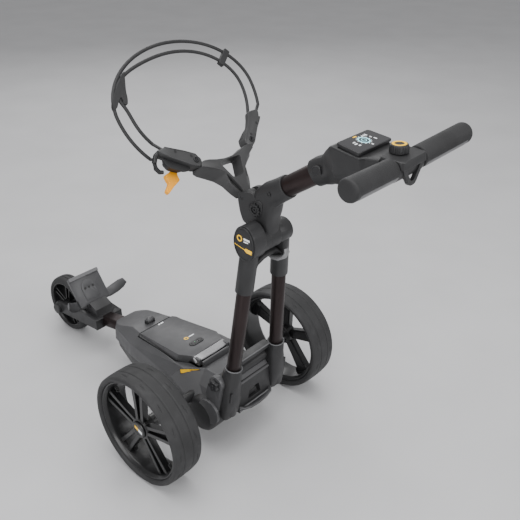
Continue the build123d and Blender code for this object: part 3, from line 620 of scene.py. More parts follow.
def handle_neck():
    """Neck that flares from the stem's collar into the display pod and the broad bar clamp."""
    rows = [
        (*stem_point(177), 0.65, (12.4, 22.6), (24.0, 0.0), (12.4, -22.6), 30),
        (*stem_point(180), 0.65, (13.0, 23.6), (25.2, 0.0), (13.0, -23.6), 30),
        (*stem_point(196), 0.6, (15, 24.6), (26, -2), (15, -25), 26),
        (-341, 811, 0.45, (22, 24), (28, -8), (18, -31), 16),
        (-357, 820, 0.25, (33, 33), (34, -12), (22, -34), 10),
        (-375, 826, 0.1, (49.5, 44), (43, -13), (26, -36), 7),
        (-384, 830, 0.06, (53.5, 44.5), (48, -14), (28, -36), 6),
        (-416, 838, 0.0, (54.5, 31), (49, -10), (31, -26), 6),
        (-440, 844, -0.05, (54, 21), (47, -5), (36, -18), 6),
        (-447, 846, -0.05, (44, 19), (43, -3), (38, -16), 6),
        (-474, 850, 0.0, (41, 17), (42, 0), (39, -17), 6),
    ]
    return loft([section(*row) for row in rows])


def slab_outline(half_u, half_v, radius, taper=0.0):
    """Rounded rectangle of (u, v), narrower by taper at its high-u end."""
    corners = [(-half_u, -half_v), (half_u, -half_v + taper), (half_u, half_v - taper), (-half_u, half_v)]
    return rounded(corners, radius, 5)


def bar(u, v, height, width):
    """Small printed bar centred at (u, v)."""
    return [(u - height / 2, v - width / 2), (u + height / 2, v - width / 2),
            (u + height / 2, v + width / 2), (u - height / 2, v + width / 2)]


def make_panel():
    """Display pod under its dark window, with generic dials printed on it."""
    place = sloped_place(PANEL_MIDDLE, PANEL_TILT)
    levels = [(-9, 0.95, 0.95), (-5.2, 0.95, 0.95), (-4.6, 1, 1), (-1.2, 1, 1), (-0.2, 0.985, 0.99)]
    rim = stack(slab_outline(27, 53, 7, 3), place, levels)
    make_piece("display_frame", rim, "handle", "black_plastic", bevel=0.4)
    window = prism(slab_outline(25.2, 50.6, 6, 3), -1.0, 0.1, place)
    make_piece("display_window", window, "handle", "display", replaces=["display_glass"], bevel=0.3)
    dial = (2.0, -2.0)
    rings = [ring_sector(dial, *radii, start, start + 22, 4)
             for radii in ((12.5, 9.6), (5.5, 4.2)) for start in range(0, 360, 24)]
    marks = [ring_sector(dial, 15.2, 13.6, start, start + 9, 3) for start in range(15, 360, 30)]
    marks += [bar(14, -24 + 5.5 * i, 6.5 - i, 3.2) for i in range(3)]
    marks += [bar(-6, -27, 7, 3.4), bar(3, -24.5, 5, 2.6), bar(6, 23, 3.2, 6.0), bar(0, 25, 3.2, 7.5),
              bar(-7, 23, 3.2, 5.0), bar(-18, -1, 4.2, 3.8)]
    charge = [bar(20.5, 1, 3.6, 8.0), bar(20.5, 6.4, 1.8, 1.6)]
    for name, outlines, key in (("dial_ring", rings, "cyan_print"), ("dial_marks", marks, "white_print"),
                                ("charge_mark", charge, "yellow_print")):
        art = Shape()
        for outline in outlines:
            art.join(prism(outline, 0.08, 0.28, place))
        make_piece(name, art, "handle", key, "display")


def bar_point(y):
    """Point on the handlebar's middle line at a distance y from the trolley's middle."""
    share = abs(y) / BAR_END[1]
    return (BAR[0] + (BAR_END[0] - BAR[0]) * share, y, BAR[1] + (BAR_END[2] - BAR[1]) * share)


def grip():
    """Left grip: a ribbed sleeve with a soft domed end."""
    stops = [(43.5, 18.5), (44.2, 20.4), (46, 21.0)]
    y = 48.0
    while y < 182:
        stops += [(y, 20.75), (y + 1.1, 20.95)]
        y += 2.2
    stops += [(183, 20.9), (185.6, 20.0), (187.3, 17.6), (188, 13.5), (188.2, 6.0)]
    rings = []
    for y, radius in stops:
        rings.append(oval(bar_point(y), (1, 0, 0), (0, 0, 1), radius, radius, 2.0, 48))
    return loft(rings)


def grip_strip():
    """Smooth raised strip along the lower rear side of the left grip."""
    inside = 19.5
    rings = []
    for y, lift in ((46, 0.2), (50, 1.0), (110, 1.0), (168, 1.0), (176, 0.1)):
        stops = [(i, 20.6 + lift * math.sin(math.pi * i / 12) ** 0.4) for i in range(13)]
        stops += [(i, inside) for i in range(12, -1, -1)]
        ring = []
        for i, radius in stops:
            angle = math.radians(196 + 50 * i / 12)
            away = Vector((radius * math.cos(angle), 0, radius * math.sin(angle)))
            ring.append(tuple(Vector(bar_point(y)) + away))
        rings.append(ring)
    return loft(rings)


def bar_hub():
    """Centre housing between the grips, with its flat deck for the speed control."""
    rings = []
    for y, radius in ((-43, 19.5), (-42, 21), (-30, 21.3), (30, 21.3), (42, 21), (43, 19.5)):
        rings.append(oval((BAR[0], y, BAR[1]), (1, 0, 0), (0, 0, 1), radius, radius, 2.2, 40))
    deck = rounded([(-33, -40), (17, -40), (17, 40), (-33, 40)], 9)
    place = sloped_place((BAR[0] + 6, BAR[1] + 20.5), 2)
    return loft(rings).join(stack(deck, place, [(-14, 1.04, 1.02), (-1, 1, 1), (1.0, 0.96, 0.97)]))


def accessory_ring():
    """Rounded V-shaped loop under the back of the hub."""
    outer = rounded([(-36, 14), (36, 14), (30, -3), (9, -32), (-9, -32), (-30, -3)], 7)
    inner = rounded([(-22, 4), (22, 4), (19, -3), (5, -23), (-5, -23), (-19, -3)], 4)
    rings = []
    for outline, depth in ((outer, 15.5), (outer, 24.0), (inner, 24.0), (inner, 15.5)):
        rings.append([(BAR[0] - depth, v, BAR[1] + w) for v, w in outline])
    return loft(rings, wrap=True)


def speed_knob():
    """Fluted rotary cap."""
    base = BAR[1] + 22.9
    profile = [(0.0, 6.2), (0.0, 17.6), (11.0, 17.0), (13.8, 16.2), (15.0, 14.6), (15.0, 0.0), (5.5, 0.0),
               (5.5, 6.2)]
    rings = []
    for s in range(144):
        angle = 2 * math.pi * s / 144
        flute = 0.5 * math.cos(24 * angle)
        ring = []
        for height, radius in profile:
            r = radius + (flute if 16 < radius and height < 13 else 0)
            ring.append((KNOB_X + r * math.cos(angle), r * math.sin(angle), base + height))
        rings.append(ring)
    return loft(rings, wrap=True)


def flat_ring(place, radius_in, radius_out, low, high, count=72):
    """Thin washer on a sloped place."""
    turns = [2 * math.pi * i / count for i in range(count)]
    rings = []
    for radius, w in ((radius_in, low), (radius_in, high), (radius_out, high), (radius_out, low)):
        rings.append([place(radius * math.cos(turn), radius * math.sin(turn), w) for turn in turns])
    return loft(rings, wrap=True)


def make_handle():
    make_piece("neck_casting", handle_neck(), "handle", "casting", None, ["handle_neck"], 0.8, 24)
    make_panel()
    make_piece("ribbed_grips", both_sides(grip()), "handle", "grip_rubber", replaces=["grips"], angle=50)
    make_piece("grip_strips", both_sides(grip_strip()), "handle", "strip_grey", "grip_rubber", angle=50)
    hub = bar_hub().join(accessory_ring())
    make_piece("hub_housing", hub, "handle", "casting", "black_plastic", ["bar_hub"], bevel=0.9)
    make_piece("fluted_knob", speed_knob(), "speed_knob", "black_plastic", replaces=["speed_knob"], bevel=0.4)
    top = sloped_place((KNOB_X, BAR[1] + 38.0), 0)
    ring = flat_ring(top, 9.0, 13.4, -0.2, 0.35)
    make_piece("knob_ring", ring, "speed_knob", "yellow_print", "accent", bevel=0.1)
    x, z = stem_point(205, 4)
    face = rounded([(x - 12, z - 8), (x + 11, z - 9), (x + 12, z + 2), (x + 3, z + 9), (x - 9, z + 9)], 5)
    latch = loft([[(u, 25.2, w) for u, w in face], [(u, 27.8, w) for u, w in face],
                  [(x + (u - x) * 0.86, 29.0, z + (w - z) * 0.86) for u, w in face]])
    make_piece("thumb_latch", latch, "height_latch", "black_plastic", replaces=["height_latch"], bevel=0.5)


make_handle()


# ------------------------------------------------------------------ bag bracket and strap
BRACKET_PIN = (-125.0, 697.0)
BRACKET_ANGLE = 51.0
STRAP_CENTRE = (42.0, 868.0)
STRAP_ANGLE = 57.0
STRAND_R = 4.0
MERGE_TURN = math.radians(28)
on_bracket = sloped_place(BRACKET_PIN, BRACKET_ANGLE)
on_strap = sloped_place(STRAP_CENTRE, STRAP_ANGLE)


def strap_line(half_width, top_rise, low_rise, low_end, bulge=0.0, count=90):
    """Smooth oval of the strap in its own sloping plane, from one arm round to the other.

    bulge pushes it outwards where the two strands meet, at the upper left.
    """
    start = -math.asin(low_end / low_rise)
    points = []
    for i in range(count + 1):
        t = start + (math.pi - 2 * start) * i / count
        rise = top_rise if math.sin(t) > 0 else low_rise
        reach = 0.52 if t > MERGE_TURN else 0.26
        grown = 1 + bulge * math.exp(-(((t - MERGE_TURN) / reach) ** 2))
        points.append(on_strap(10 + rise * math.sin(t) * grown, half_width * math.cos(t) * grown, 0))
    return points


def make_strap():
    slope = math.radians(STRAP_ANGLE)
    normal = (-math.sin(slope), 0, math.cos(slope))
    outer = strap_line(197, 133, 178, 103)[1:-6]
    outer = [on_bracket(146, 166, -19)] + outer + [on_bracket(168, -143, -5)]
    inner = strap_line(164, 110, 143, 80, 0.17)[2:-2]
    inner = [on_bracket(157, 148, -5)] + inner + [on_bracket(170, -124, -5)]
    strands = tube(outer, STRAND_R, 14, 0.8, normal).join(tube(inner, STRAND_R, 14, 0.8, normal))
    make_piece("strap_strands", strands, "bag_bracket", "strap_elastic", replaces=["bag_strap"], angle=60)
    clip_turn = math.radians(-52)
    c, s = math.cos(clip_turn), math.sin(clip_turn)
    clip = rounded([(-23, -7.5), (23, -7.5), (23, 7.5), (-23, 7.5)], 3)
    clip = prism([(80 + u * c - v * s, -147 + u * s + v * c) for u, v in clip], -5.5, 5.5, on_strap)
    make_piece("strap_clip", clip, "bag_bracket", "casting", "strap_elastic", bevel=1.2)
    merge = rounded([(104, 131), (86, 155), (66, 177), (50, 190), (38, 197), (29, 197), (34, 187), (46, 177),
                     (53, 168), (47, 166), (38, 170), (33, 161), (46, 154), (62, 150), (80, 142)], 6)
    make_piece("strap_merge", prism(merge, -4.4, 4.4, on_strap), "bag_bracket", "strap_elastic", bevel=1.4)


make_strap()


def radial(outline, centre, count=96):
    """Points where rays from the centre cross a closed outline, evenly turned."""
    cx, cy = centre
    points = []
    for i in range(count):
        angle = 2 * math.pi * (i + 0.5) / count
        dx, dy = math.cos(angle), math.sin(angle)
        best = None
        for (x0, y0), (x1, y1) in zip(outline, outline[1:] + outline[:1]):
            ex, ey = x1 - x0, y1 - y0
            cross = dx * ey - dy * ex
            if abs(cross) < 1e-9:
                continue
            reach = ((x0 - cx) * ey - (y0 - cy) * ex) / cross
            along = ((x0 - cx) * dy - (y0 - cy) * dx) / cross
            if reach > 0 and -1e-9 <= along <= 1 + 1e-9:
                best = reach if best is None else max(best, reach)
        points.append((cx + dx * best, cy + dy * best))
    return points


def two_sided(half):
    """Closed outline from its left half, given as (s, y) from one end to the other."""
    return half + [(s, -y) for s, y in reversed(half) if y > 0.01]


YOKE_MIDDLE = (70.0, 0.0)
YOKE_DEPTH = 30.0
YOKE_TOP = [(4, 10), (20, 11), (33, 15), (48, 21), (64, 30), (75, 42), (85, 60), (92, 80), (106, 74),
            (104, 56), (98, 36), (94, 14), (93.5, 0)]
YOKE_FOOT = [(6, 14), (21, 24), (43, 34), (60, 49), (72, 66), (84, 84), (92, 90), (108, 78), (106, 58),
             (100, 38), (96, 14), (95.5, 0)]
YOKE_WINDOW = [(46, 0), (46, 12), (50, 17), (86, 31), (89, 28), (90, 0)]


def yoke():
    """Y-shaped yoke with deep skirts, a tapered window and a bar between two grooves."""
    top = radial(two_sided(YOKE_TOP), YOKE_MIDDLE)
    foot = radial(two_sided(YOKE_FOOT), YOKE_MIDDLE)
    window = radial(rounded(two_sided(YOKE_WINDOW), 5), YOKE_MIDDLE)

    def groove(s):
        return min(1.0, max(0.0, (62.0 - s) / 16.0))

    def blend(a, b, share):
        return (a[0] + (b[0] - a[0]) * share, a[1] + (b[1] - a[1]) * share)

    rings = [
        [on_bracket(*w, 0.0) for w in window],
        [on_bracket(*blend(t, YOKE_MIDDLE, 0.02), 0.0) for t in top],
        [on_bracket(*t, -1.2) for t in top],
        [on_bracket(*t, -1.2 - 9.0 * groove(t[0])) for t in top],
        [on_bracket(*blend(t, f, 0.72 * groove(t[0])), -1.4 - 4.0 * groove(t[0])) for t, f in zip(top, foot)],
        [on_bracket(*blend(t, f, 0.2 + 0.7 * groove(t[0])), -3.5 - 4.0 * groove(t[0]))
         for t, f in zip(top, foot)],
        [on_bracket(*f, -YOKE_DEPTH) for f in foot],
        [on_bracket(*blend(w, YOKE_MIDDLE, 0.22), -YOKE_DEPTH) for w in window],
    ]
    shape = loft(rings, wrap=True)
    shape.join(lathe([(-13, 5.2), (-13, 10.5), (13, 10.5), (13, 5.2)], *BRACKET_PIN, segments=40))
    for side in (-1, 1):
        disc = [(ARM_BOLT[0] + u, side * ARM_BOLT[1] + v) for u, v in arc_points((0, 0), 14.2, 0, 350, 36)]
        shape.join(prism(disc, -YOKE_DEPTH, -12.2, on_bracket))
    return shape


LEFT_ARM_TOP = [(95, 80), (101, 74), (112, 71), (123, 80), (136, 102), (148, 125), (160, 143), (157, 161),
                (150, 158), (132, 138), (119, 120), (104, 100), (98, 90)]
RIGHT_ARM_TOP = [(98, -84), (100, -72), (107, -66), (117, -67), (128, -78), (142, -94), (159, -108),
                 (175, -117), (174, -151), (159, -145), (137, -126), (118, -107), (104, -93)]
ARM_BOLT = (112.0, 85.0)
ARM_SLOT = (123.0, 92.0)
TOGGLE_PIVOT = (122.0, 118.0)


def arm_plate(corners, middle):
    """One arm's top plate: a flat blade with softened edges."""
    outline = rounded(corners, 8, 4)
    inner = [(u + (middle[0] - u) * 0.05, v + (middle[1] - v) * 0.05) for u, v in outline]
    return loft([[on_bracket(u, v, -11.4) for u, v in outline], [on_bracket(u, v, -1.4) for u, v in outline],
                 [on_bracket(u, v, 0.2) for u, v in inner]])


def arm_wall():
    """Deep side wall under the arm's blade, behind the rubber facing."""
    wall = [(126, 92), (147, 125), (161, 143), (158, 158), (150, 150), (132, 128), (118, 104)]
    return prism(rounded(wall, 4), -32, -11, on_bracket)


def arm_pad():
    """Rubber facing on the bag side of the arm, under its blade."""
    face = [(113, 73), (125, 77), (139, 99), (151, 122), (161, 141), (157, 145), (145, 126), (132, 105),
            (117, 83)]
    return prism(rounded(face, 2), -33, -1.8, on_bracket)


def ringed_bolt(centre, low, high, radius=6.6):
    """Low cap bolt with a raised rim and a round socket."""
    u, v = centre
    rings = []
    for r, w in ((radius, low), (radius, high - 0.8), (radius - 0.8, high), (radius - 2.4, high),
                 (radius - 3.0, high - 0.9), (2.9, high - 0.9), (2.6, high - 2.4)):
        rings.append([on_bracket(u + x, v + y, w) for x, y in arc_points((0, 0), r, 0, 350, 36)])
    return loft(rings)


def make_bracket():
    make_piece("yoke_casting", yoke(), "bag_bracket", "bracket_grey", "casting", ["bracket_yoke"], 0.5, 40)
    plates = arm_plate(LEFT_ARM_TOP, (125.0, 112.0)).join(arm_plate(RIGHT_ARM_TOP, (135.0, -105.0)))
    plates.join(both_sides(arm_wall()))
    make_piece("arm_facings", both_sides(arm_pad()), "bag_bracket", "grip_rubber", None, ["arm_pads"], 0.6)
    make_piece("arm_blades", plates, "bag_bracket", "bracket_grey", "casting", ["bracket_arms"], 0.5, 40)
    pin = [(-26.5, 0), (-26.5, 5), (26.5, 5), (27.5, 4.2), (27.5, 2.4), (26.2, 2.2), (26.2, 0)]
    bolts = both_sides(ringed_bolt(ARM_BOLT, 0.0, 2.6)).join(lathe(pin, *BRACKET_PIN, 36))
    make_piece("ringed_bolts", bolts, "bag_bracket", "bolt_dark", "steel", ["bracket_bolts"], 0.2)
    # Thin black plates mark two slots on each arm's blade: painted shade in the slots.
    slots = Shape()
    for forward, outward in ((0, 0), (20, 32)):
        slot = [(ARM_SLOT[0] + forward + u, ARM_SLOT[1] + outward + v) for u, v in slab_outline(3.4, 2.6, 2)]
        slots.join(prism(slot, 0.1, 0.5, on_bracket))
    make_piece("arm_slot_shades", both_sides(slots), "bag_bracket", "black_plastic", "casting")
    make_tensioner()


def make_tensioner():
    """Black mechanism under the left arm, its rod and rollers, and the amber toggle."""
    plate = [(112, 94), (98, 104), (100, 118), (112, 140), (124, 152), (150, 154), (140, 130), (124, 104)]
    lower = [(120, 104), (106, 110), (108, 124), (120, 142), (134, 146), (142, 138), (132, 118)]
    spacer = [(124, 112), (114, 118), (122, 136), (134, 138), (134, 126)]
    parts = Shape()
    for outline, radius, low, high in ((plate, 5, -17, -11.6), (lower, 4, -34, -23), (spacer, 3, -24, -16)):
        parts.join(prism(rounded(outline, radius), low, high, on_bracket))
    hook = [(156, 152, -9), (152, 162, -15), (142, 168, -22), (130, 168, -28), (121, 162, -31),
            (118, 154, -30)]
    parts.join(tube([on_bracket(*point) for point in hook], [5.0, 5.4, 5.4, 5.2, 4.8, 4.2], 14))
    make_piece("tension_mechanism", parts, "bag_bracket", "black_plastic", None, ["strap_tensioner"], 0.8)
    rod = tube([on_bracket(138, 150, -20), on_bracket(112, 122, -19)], 2.6, 14)
    rod.join(tube([on_bracket(*TOGGLE_PIVOT, -14), on_bracket(*TOGGLE_PIVOT, -46)], 3.9, 20))
    make_piece("tension_rod", rod, "bag_bracket", "bolt_dark", "steel", bevel=0.3)
    lever = [(120, 112), (127, 119), (118, 128), (115, 137), (112.5, 150), (103, 151), (94, 150), (81, 167),
             (73, 164), (84, 141), (91, 122), (104, 121)]
    toggle = prism(rounded(lever, 3), -45, -34.6, on_bracket)
    make_piece("amber_toggle", toggle, "strap_latch", "accent", replaces=["strap_latch"], bevel=1.4)


make_bracket()


# ------------------------------------------------------------------ legs and hinges
HEAD = (-171.0, 617.0)
HEAD_PIVOT = (-172.0, 610.0)
CAP_FACE = 73.0
LEG_LOW = (-126.0, 76.0, 276.0)
LEG_HIGH = (-154.0, 59.0, 490.0)


def cap_place(u, v, w):
    """Drawn as (back, up) from the oval cap's middle; w is outwards from its face."""
    return (HEAD[0] - u, CAP_FACE + w, HEAD[1] + v)


def oval_outline(half_u, half_v, low=-400.0, count=72):
    """Ellipse, cut off flat below v = low on its left and rising to the right."""
    points = []
    for i in range(count):
        angle = 2 * math.pi * i / count
        u, v = half_u * math.cos(angle), half_v * math.sin(angle)
        points.append((u, max(v, low - 0.24 * u)))
    return points


def make_cap():
    """Oval cover plate with its stripe, and a plain golf-ball mark."""
    steps = ((28.4, 38.8, 0.0), (28.4, 38.8, 0.8), (27.6, 38.0, 1.2), (26.2, 36.4, 1.2), (25.8, 36.0, 0.0))
    rings = [[cap_place(u, v, w) for u, v in oval_outline(half_u, half_v)] for half_u, half_v, w in steps]
    make_piece("cap_rim", loft(rings, wrap=True), "legs", "casting", "black_plastic")
    plate = prism(oval_outline(25.2, 35.4, -9.5), 0.0, 1.0, cap_place)
    make_piece("cap_plate", plate, "legs", "black_plastic", bevel=0.4)
    yellow = prism([(-25.0, -4.6), (3.0, -11.4), (3.0, -9.9), (-25.0, -3.1)], 1.0, 1.3, cap_place)
    wedge = rounded([(2.0, -11.0), (7.0, -6.4), (25.2, -8.6), (23.4, -17.6), (9.0, -16.4)], 1.5)
    yellow.join(prism(wedge, 1.0, 1.4, cap_place))
    for start in range(0, 360, 15):
        yellow.join(prism(ring_sector((-10.0, 13.0), 7.6, 4.6, start, start + 15, 3), 1.0, 1.3, cap_place))
    make_piece("cap_stripe", yellow, "legs", "yellow_print", "black_plastic")
    white = prism([(2, 12), (20, 11), (18.5, 15.5), (2, 16.5)], 1.0, 1.3, cap_place)
    white.join(prism([(2, 6.5), (15, 6.2), (14, 9), (2, 9.4)], 1.0, 1.3, cap_place))
    make_piece("cap_dashes", white, "legs", "white_print", "black_plastic")


def leg_point(z, side=1):
    """Middle of a leg tube at a height."""
    low, high = Vector(LEG_LOW), Vector(LEG_HIGH)
    point = low + (high - low) * ((z - low.z) / (high.z - low.z))
    return Vector((point.x, side * point.y, point.z))


def ring_around(z, radius, thickness):
    """Thin ring around the left leg at a height."""
    axis = (leg_point(z + 10) - leg_point(z)).normalized()
    wide = axis.cross(Vector((0, 1, 0))).normalized()
    deep = axis.cross(wide)
    rings = []
    for i in range(60):
        angle = 2 * math.pi * i / 60
        out = wide * math.cos(angle) + deep * math.sin(angle)
        rings.append(oval(leg_point(z) + out * radius, out, axis, thickness, thickness, 2.0, 10))
    return loft(rings, wrap=True)


def arch():
    """Arched bridge that joins the two heads under the hinge barrel."""
    path = [(-160, 60, 512), (-160, 52, 538), (-160, 38, 558), (-161, 20, 568), (-162, 0, 571),
            (-161, -20, 568), (-160, -36, 556), (-159, -50, 536), (-158, -57, 508)]
    return tube(path, [17, 18, 20, 22, 22, 22, 20, 18, 16], 24, 0.44, (0, 0.35, 1))


def socket(side):
    """Shroud round one leg socket, widening into the saddle's lower edge."""
    rings = []
    for z, half_x, half_y, shift, power in ((270, 20.8, 20.8, 0, 2.0), (262, 22.0, 22.0, 0, 2.1),
                                             (225, 23.5, 23.5, 1.5, 2.4), (180, 23.0, 25.0, 4.0, 2.8),
                                             (140, 17.0, 25.0, 5.0, 3.0), (127, 12.0, 22.0, 5.0, 3.0)):
        middle = leg_point(z, side) + Vector((4.0 - shift, side * -shift * 0.6, 0))
        rings.append(oval(middle, (1, 0, 0), (0, 1, 0), half_x, half_y, power, 40))
    return loft(rings)


def thumb_lever():
    """Broad hooked lever under the barrel, inside the right head."""
    path = [(-150, -22, 553), (-164, -27, 546), (-180, -31, 546), (-193, -34, 553), (-199, -36, 564),
            (-196, -36, 573)]
    return tube(path, [6, 11, 13, 12, 10, 6], 24, 0.42, (0.5, 0, 1))


def make_legs():
    make_cap()
    make_piece("arched_bridge", arch(), "legs", "casting", replaces=["leg_bridge"], angle=60)
    make_piece("leg_sockets", socket(1).join(socket(-1)), "legs", "casting", angle=50)
    lever = thumb_lever()
    make_piece("hooked_lever", lever, "hinge_lever", "lever_grey", "pale_plastic", ["hinge_lever"], angle=60)
    ledge = [(-121.2, 205.5), (-101, 229.2), (-101, 226), (-118.6, 205.5)]
    make_piece("saddle_ledge", prism(ledge, -55, 55, side_place), "legs", "housing", "casting", bevel=0.5)
    trims = both_sides(ring_around(275.5, 20.2, 1.3))
    for z in (134.5, 128.0):
        bowed = ((-121.5, -58), (-122.6, -50), (-122.9, 0), (-122.6, 50), (-121.5, 58))
        trims.join(tube([(x, y, z) for x, y in bowed], 2.0, 10))
    trims.join(tube([(-121.0, -57, 273.5), (-121.0, 57, 273.5)], 1.6, 10))
    make_piece("saddle_edges", trims, "legs", "edge_grey", "casting", angle=60)
    lip = [(-117, 57, 139), (-123, 48, 133), (-126, 26, 128), (-127, 0, 126), (-126, -26, 127),
           (-123, -48, 131), (-117, -57, 137)]
    lip = tube(lip, [6, 9, 10, 10, 10, 9, 6], 20, 0.5, (0.45, 0, 1))
    make_piece("saddle_lip", lip, "legs", "housing", "casting", angle=60)
    # Half-sunk black bars on each leg socket's rear outer side mark its slot: painted shade in the slots.
    slots = Shape()
    for side in (-1, 1):
        ends = [leg_point(z, side) + Vector((-17.5, side * 16.5, 0)) for z in (187, 215)]
        slots.join(tube(ends, 3.0, 12))
    make_piece("saddle_slot_shades", slots, "legs", "rim_gloss", "casting")


make_legs()


# ------------------------------------------------------------------ stem
def gear_ring(x, z, y0, y1, teeth, low, high, bore):
    """Toothed ring about the sideways axis."""
    rings = [[], [], [], []]
    for i in range(teeth * 4):
        angle = 2 * math.pi * i / (teeth * 4)
        radius = high if i % 4 < 2 else low
        c, s = math.cos(angle), math.sin(angle)
        for ring, (r, y) in zip(rings, ((bore, y0), (radius, y0), (radius, y1), (bore, y1))):
            ring.append((x + r * c, y, z + r * s))
    return loft(rings, wrap=True)


def make_stem_boss():
    """Toothed clamp ring and its bolt in the hinge block's side."""
    x, z = -165.0, 680.0
    boss = gear_ring(x, z, 25.0, 30.6, 12, 12.6, 15.0, 8.6)
    boss.join(gear_ring(x, z, 25.0, 29.6, 6, 5.6, 6.4, 2.6))
    washer = [(25.6, 0.0), (25.6, 19.0), (28.0, 19.0), (28.0, 17.4), (27.3, 17.2), (27.3, 0.0)]
    boss.join(lathe(washer, x, z, 48))
    make_piece("toothed_boss", boss, "stem", "black_plastic", replaces=["stem_boss"], bevel=0.5)


def elbow():
    """Elbow casting from the hinge barrel up to the stem's collar, with the bracket's two lugs."""
    stations = [(-171, 612, 88, 25, 24, 2.6), (-168, 640, 91, 26.4, 30, 3.0), (-167, 662, 96, 27, 33, 3.4),
                (-173, 686, 116, 27, 35, 3.4), (-184, 703, 136, 27, 32, 3.2)]
    for station, half_width, half_height, power in ((42, 26.5, 28.5, 2.9), (64, 26, 26.5, 2.4),
                                                    (91, 25.6, 25.6, 2.1), (94, 24.4, 24.4, 2.1)):
        stations.append((*stem_point(station), STEM_ANGLE, half_width, half_height, power))
    rings = []
    for x, z, angle, *size in stations:
        a = math.radians(angle)
        rings.append(oval((x, 0, z), (0, 1, 0), (math.sin(a), 0, -math.cos(a)), *size, 56))
    barrel = [(-19, 8.4), (-19, 27.2), (-18, 28), (12.5, 28), (13, 27.2), (14, 27.2), (14.5, 28), (32, 28),
              (33, 27.2), (33, 8.4)]
    shape = loft(rings).join(lathe(barrel, *HEAD_PIVOT, segments=80))
    lug = rounded([(-128, 640), (-119, 662), (-114, 690), (-115, 705), (-128, 711), (-160, 716), (-170, 690),
                   (-165, 640)], 9)
    for low, high in ((13.8, 26.8), (-26.8, -13.8)):
        shape.join(prism(lug, low, high, side_place))
    return shape


def make_stem():
    make_piece("elbow_casting", elbow(), "stem", "casting", replaces=["hinge_block"], bevel=0.7, angle=35)
    make_stem_boss()
    x, z = stem_point(56, 2)
    hole = lathe([(24.4, 0.0), (24.4, 5.0), (27.4, 5.0), (27.4, 3.4), (26.6, 3.2), (26.6, 0.0)], x, z, 30)
    rings = []
    for y, half_x, half_z in ((25.0, 13, 22), (27.8, 13, 22), (28.6, 12.2, 21.2), (28.6, 10.6, 19.6),
                              (27.6, 10.2, 19.2)):
        rings.append(oval((-171, y, 683), (0.92, 0, 0.38), (-0.38, 0, 0.92), half_x, half_z, 2.4, 60))
    make_piece("side_screw", hole.join(loft(rings)), "stem", "rim_gloss", "casting")


make_stem()


# ------------------------------------------------------------------ chassis trims
LID_SEAM = [(258, 0), (257, 66), (86, 77), (44, 47), (44, 0)]
LID_MIDDLE = (150.0, 0.0)
LID_FRONT = (240.0, 202.0)
LID_RUN, LID_RISE = 180.0, 14.0
BUTTON_X, BUTTON_Y = 90.4, 11
CATCH_X = 284
LEG_PIVOT = (-97, 232)
MOTOR_AXIS = (-35.0, 110.0)


def snapped(target, points, lift):
    """Points moved onto an object's surface, lift millimetres off it."""
    to_target = target.matrix_world.inverted()
    moved = []
    for point in points:
        _, place, normal, _ = target.closest_point_on_mesh(to_target @ (DATUM @ Vector(point)))
        spot = target.matrix_world @ (place + normal * lift * MM)
        moved.append(tuple(DATUM.inverted() @ spot))
    return moved


def label(target, points, thickness=0.3):
    """Thin raised label that follows an object's surface."""
    return loft([snapped(target, points, 0.02), snapped(target, points, thickness)])


def lid_height(x):
    """Top of the battery lid above a point on its middle line."""
    return LID_FRONT[1] + (LID_FRONT[0] - x) * LID_RISE / LID_RUN


FLANK_LEVELS = [
    (196.3, [(56, 86.8), (52, 86.8), (6, 50.8), (-60, 50.8)]),
    (172.0, [(80, 110.9), (76, 110.9), (-6, 84.9), (-66, 84.9)]),
    (147.0, [(82, 113.6), (6, 119.4), (-48, 106.0), (-66, 102.6)]),
    (134.0, [(85, 115.0), (0, 123.0), (-56, 113.0), (-66, 111.0)]),
    (126.0, [(83, 112.0), (2, 119.0), (-54, 109.0), (-64, 107.0)]),
]


def flank():
    """Faceted left rear side of the casing, over the transaxle."""
    outer = [[(x, y, z) for x, y in outline] for z, outline in FLANK_LEVELS]
    inner = [[(x, y - 5, z) for x, y in reversed(outline)] for z, outline in FLANK_LEVELS]
    return loft([a + b for a, b in zip(outer, inner)])


def axle_drum():
    """Left axle tube, from the casing to the wheel."""
    return lathe([(100, 8.3), (100, 12.5), (194, 12.0), (200, 11.0), (200, 8.3)], segments=60)


def motor_cover():
    """Big round dark cover low under the casing, over the end of the drive."""
    profile = [(62, 0.0), (62, 49.0), (106, 49.0), (113, 47.6), (118, 43.5), (120, 37.0), (120.6, 0.0)]
    return lathe(profile, *MOTOR_AXIS, 84)


def carry_handle():
    """Broad pale bow over the recess at the back of the battery."""
    rings = []
    for y, drop, narrow in ((-58, 9, 5), (-57, 4, 2), (-52, 0.8, 0), (-30, 0, 0), (0, 0, 0), (30, 0, 0),
                            (52, 0.8, 0), (57, 4, 2), (58, 9, 5)):
        bow = 4.0 * (1 - (y / 58) ** 2)
        low, high = 27 - bow + narrow, 43.5 - bow * 0.4 - narrow
        sunk = drop * 0.3
        ring = [(low, 206.5 - sunk), (low, 211 - drop), (high, 218.6 - drop), (high, 212 - sunk)]
        rings.append([(x, y, z) for x, z in rounded(ring, 2.4)])
    return loft(rings)


def catch_mound():
    """Rounded rocking catch in front of the lid."""
    rings = []
    for z, half_x, half_y in ((201.5, 8.5, 12.5), (205, 9, 12.5), (208.5, 7.5, 10), (211.5, 5, 7.5),
                              (212.5, 3, 5)):
        rings.append(oval((CATCH_X, 0, z), (1, 0, 0), (0, 1, 0), half_x, half_y, 2.6, 40))
    return loft(rings)


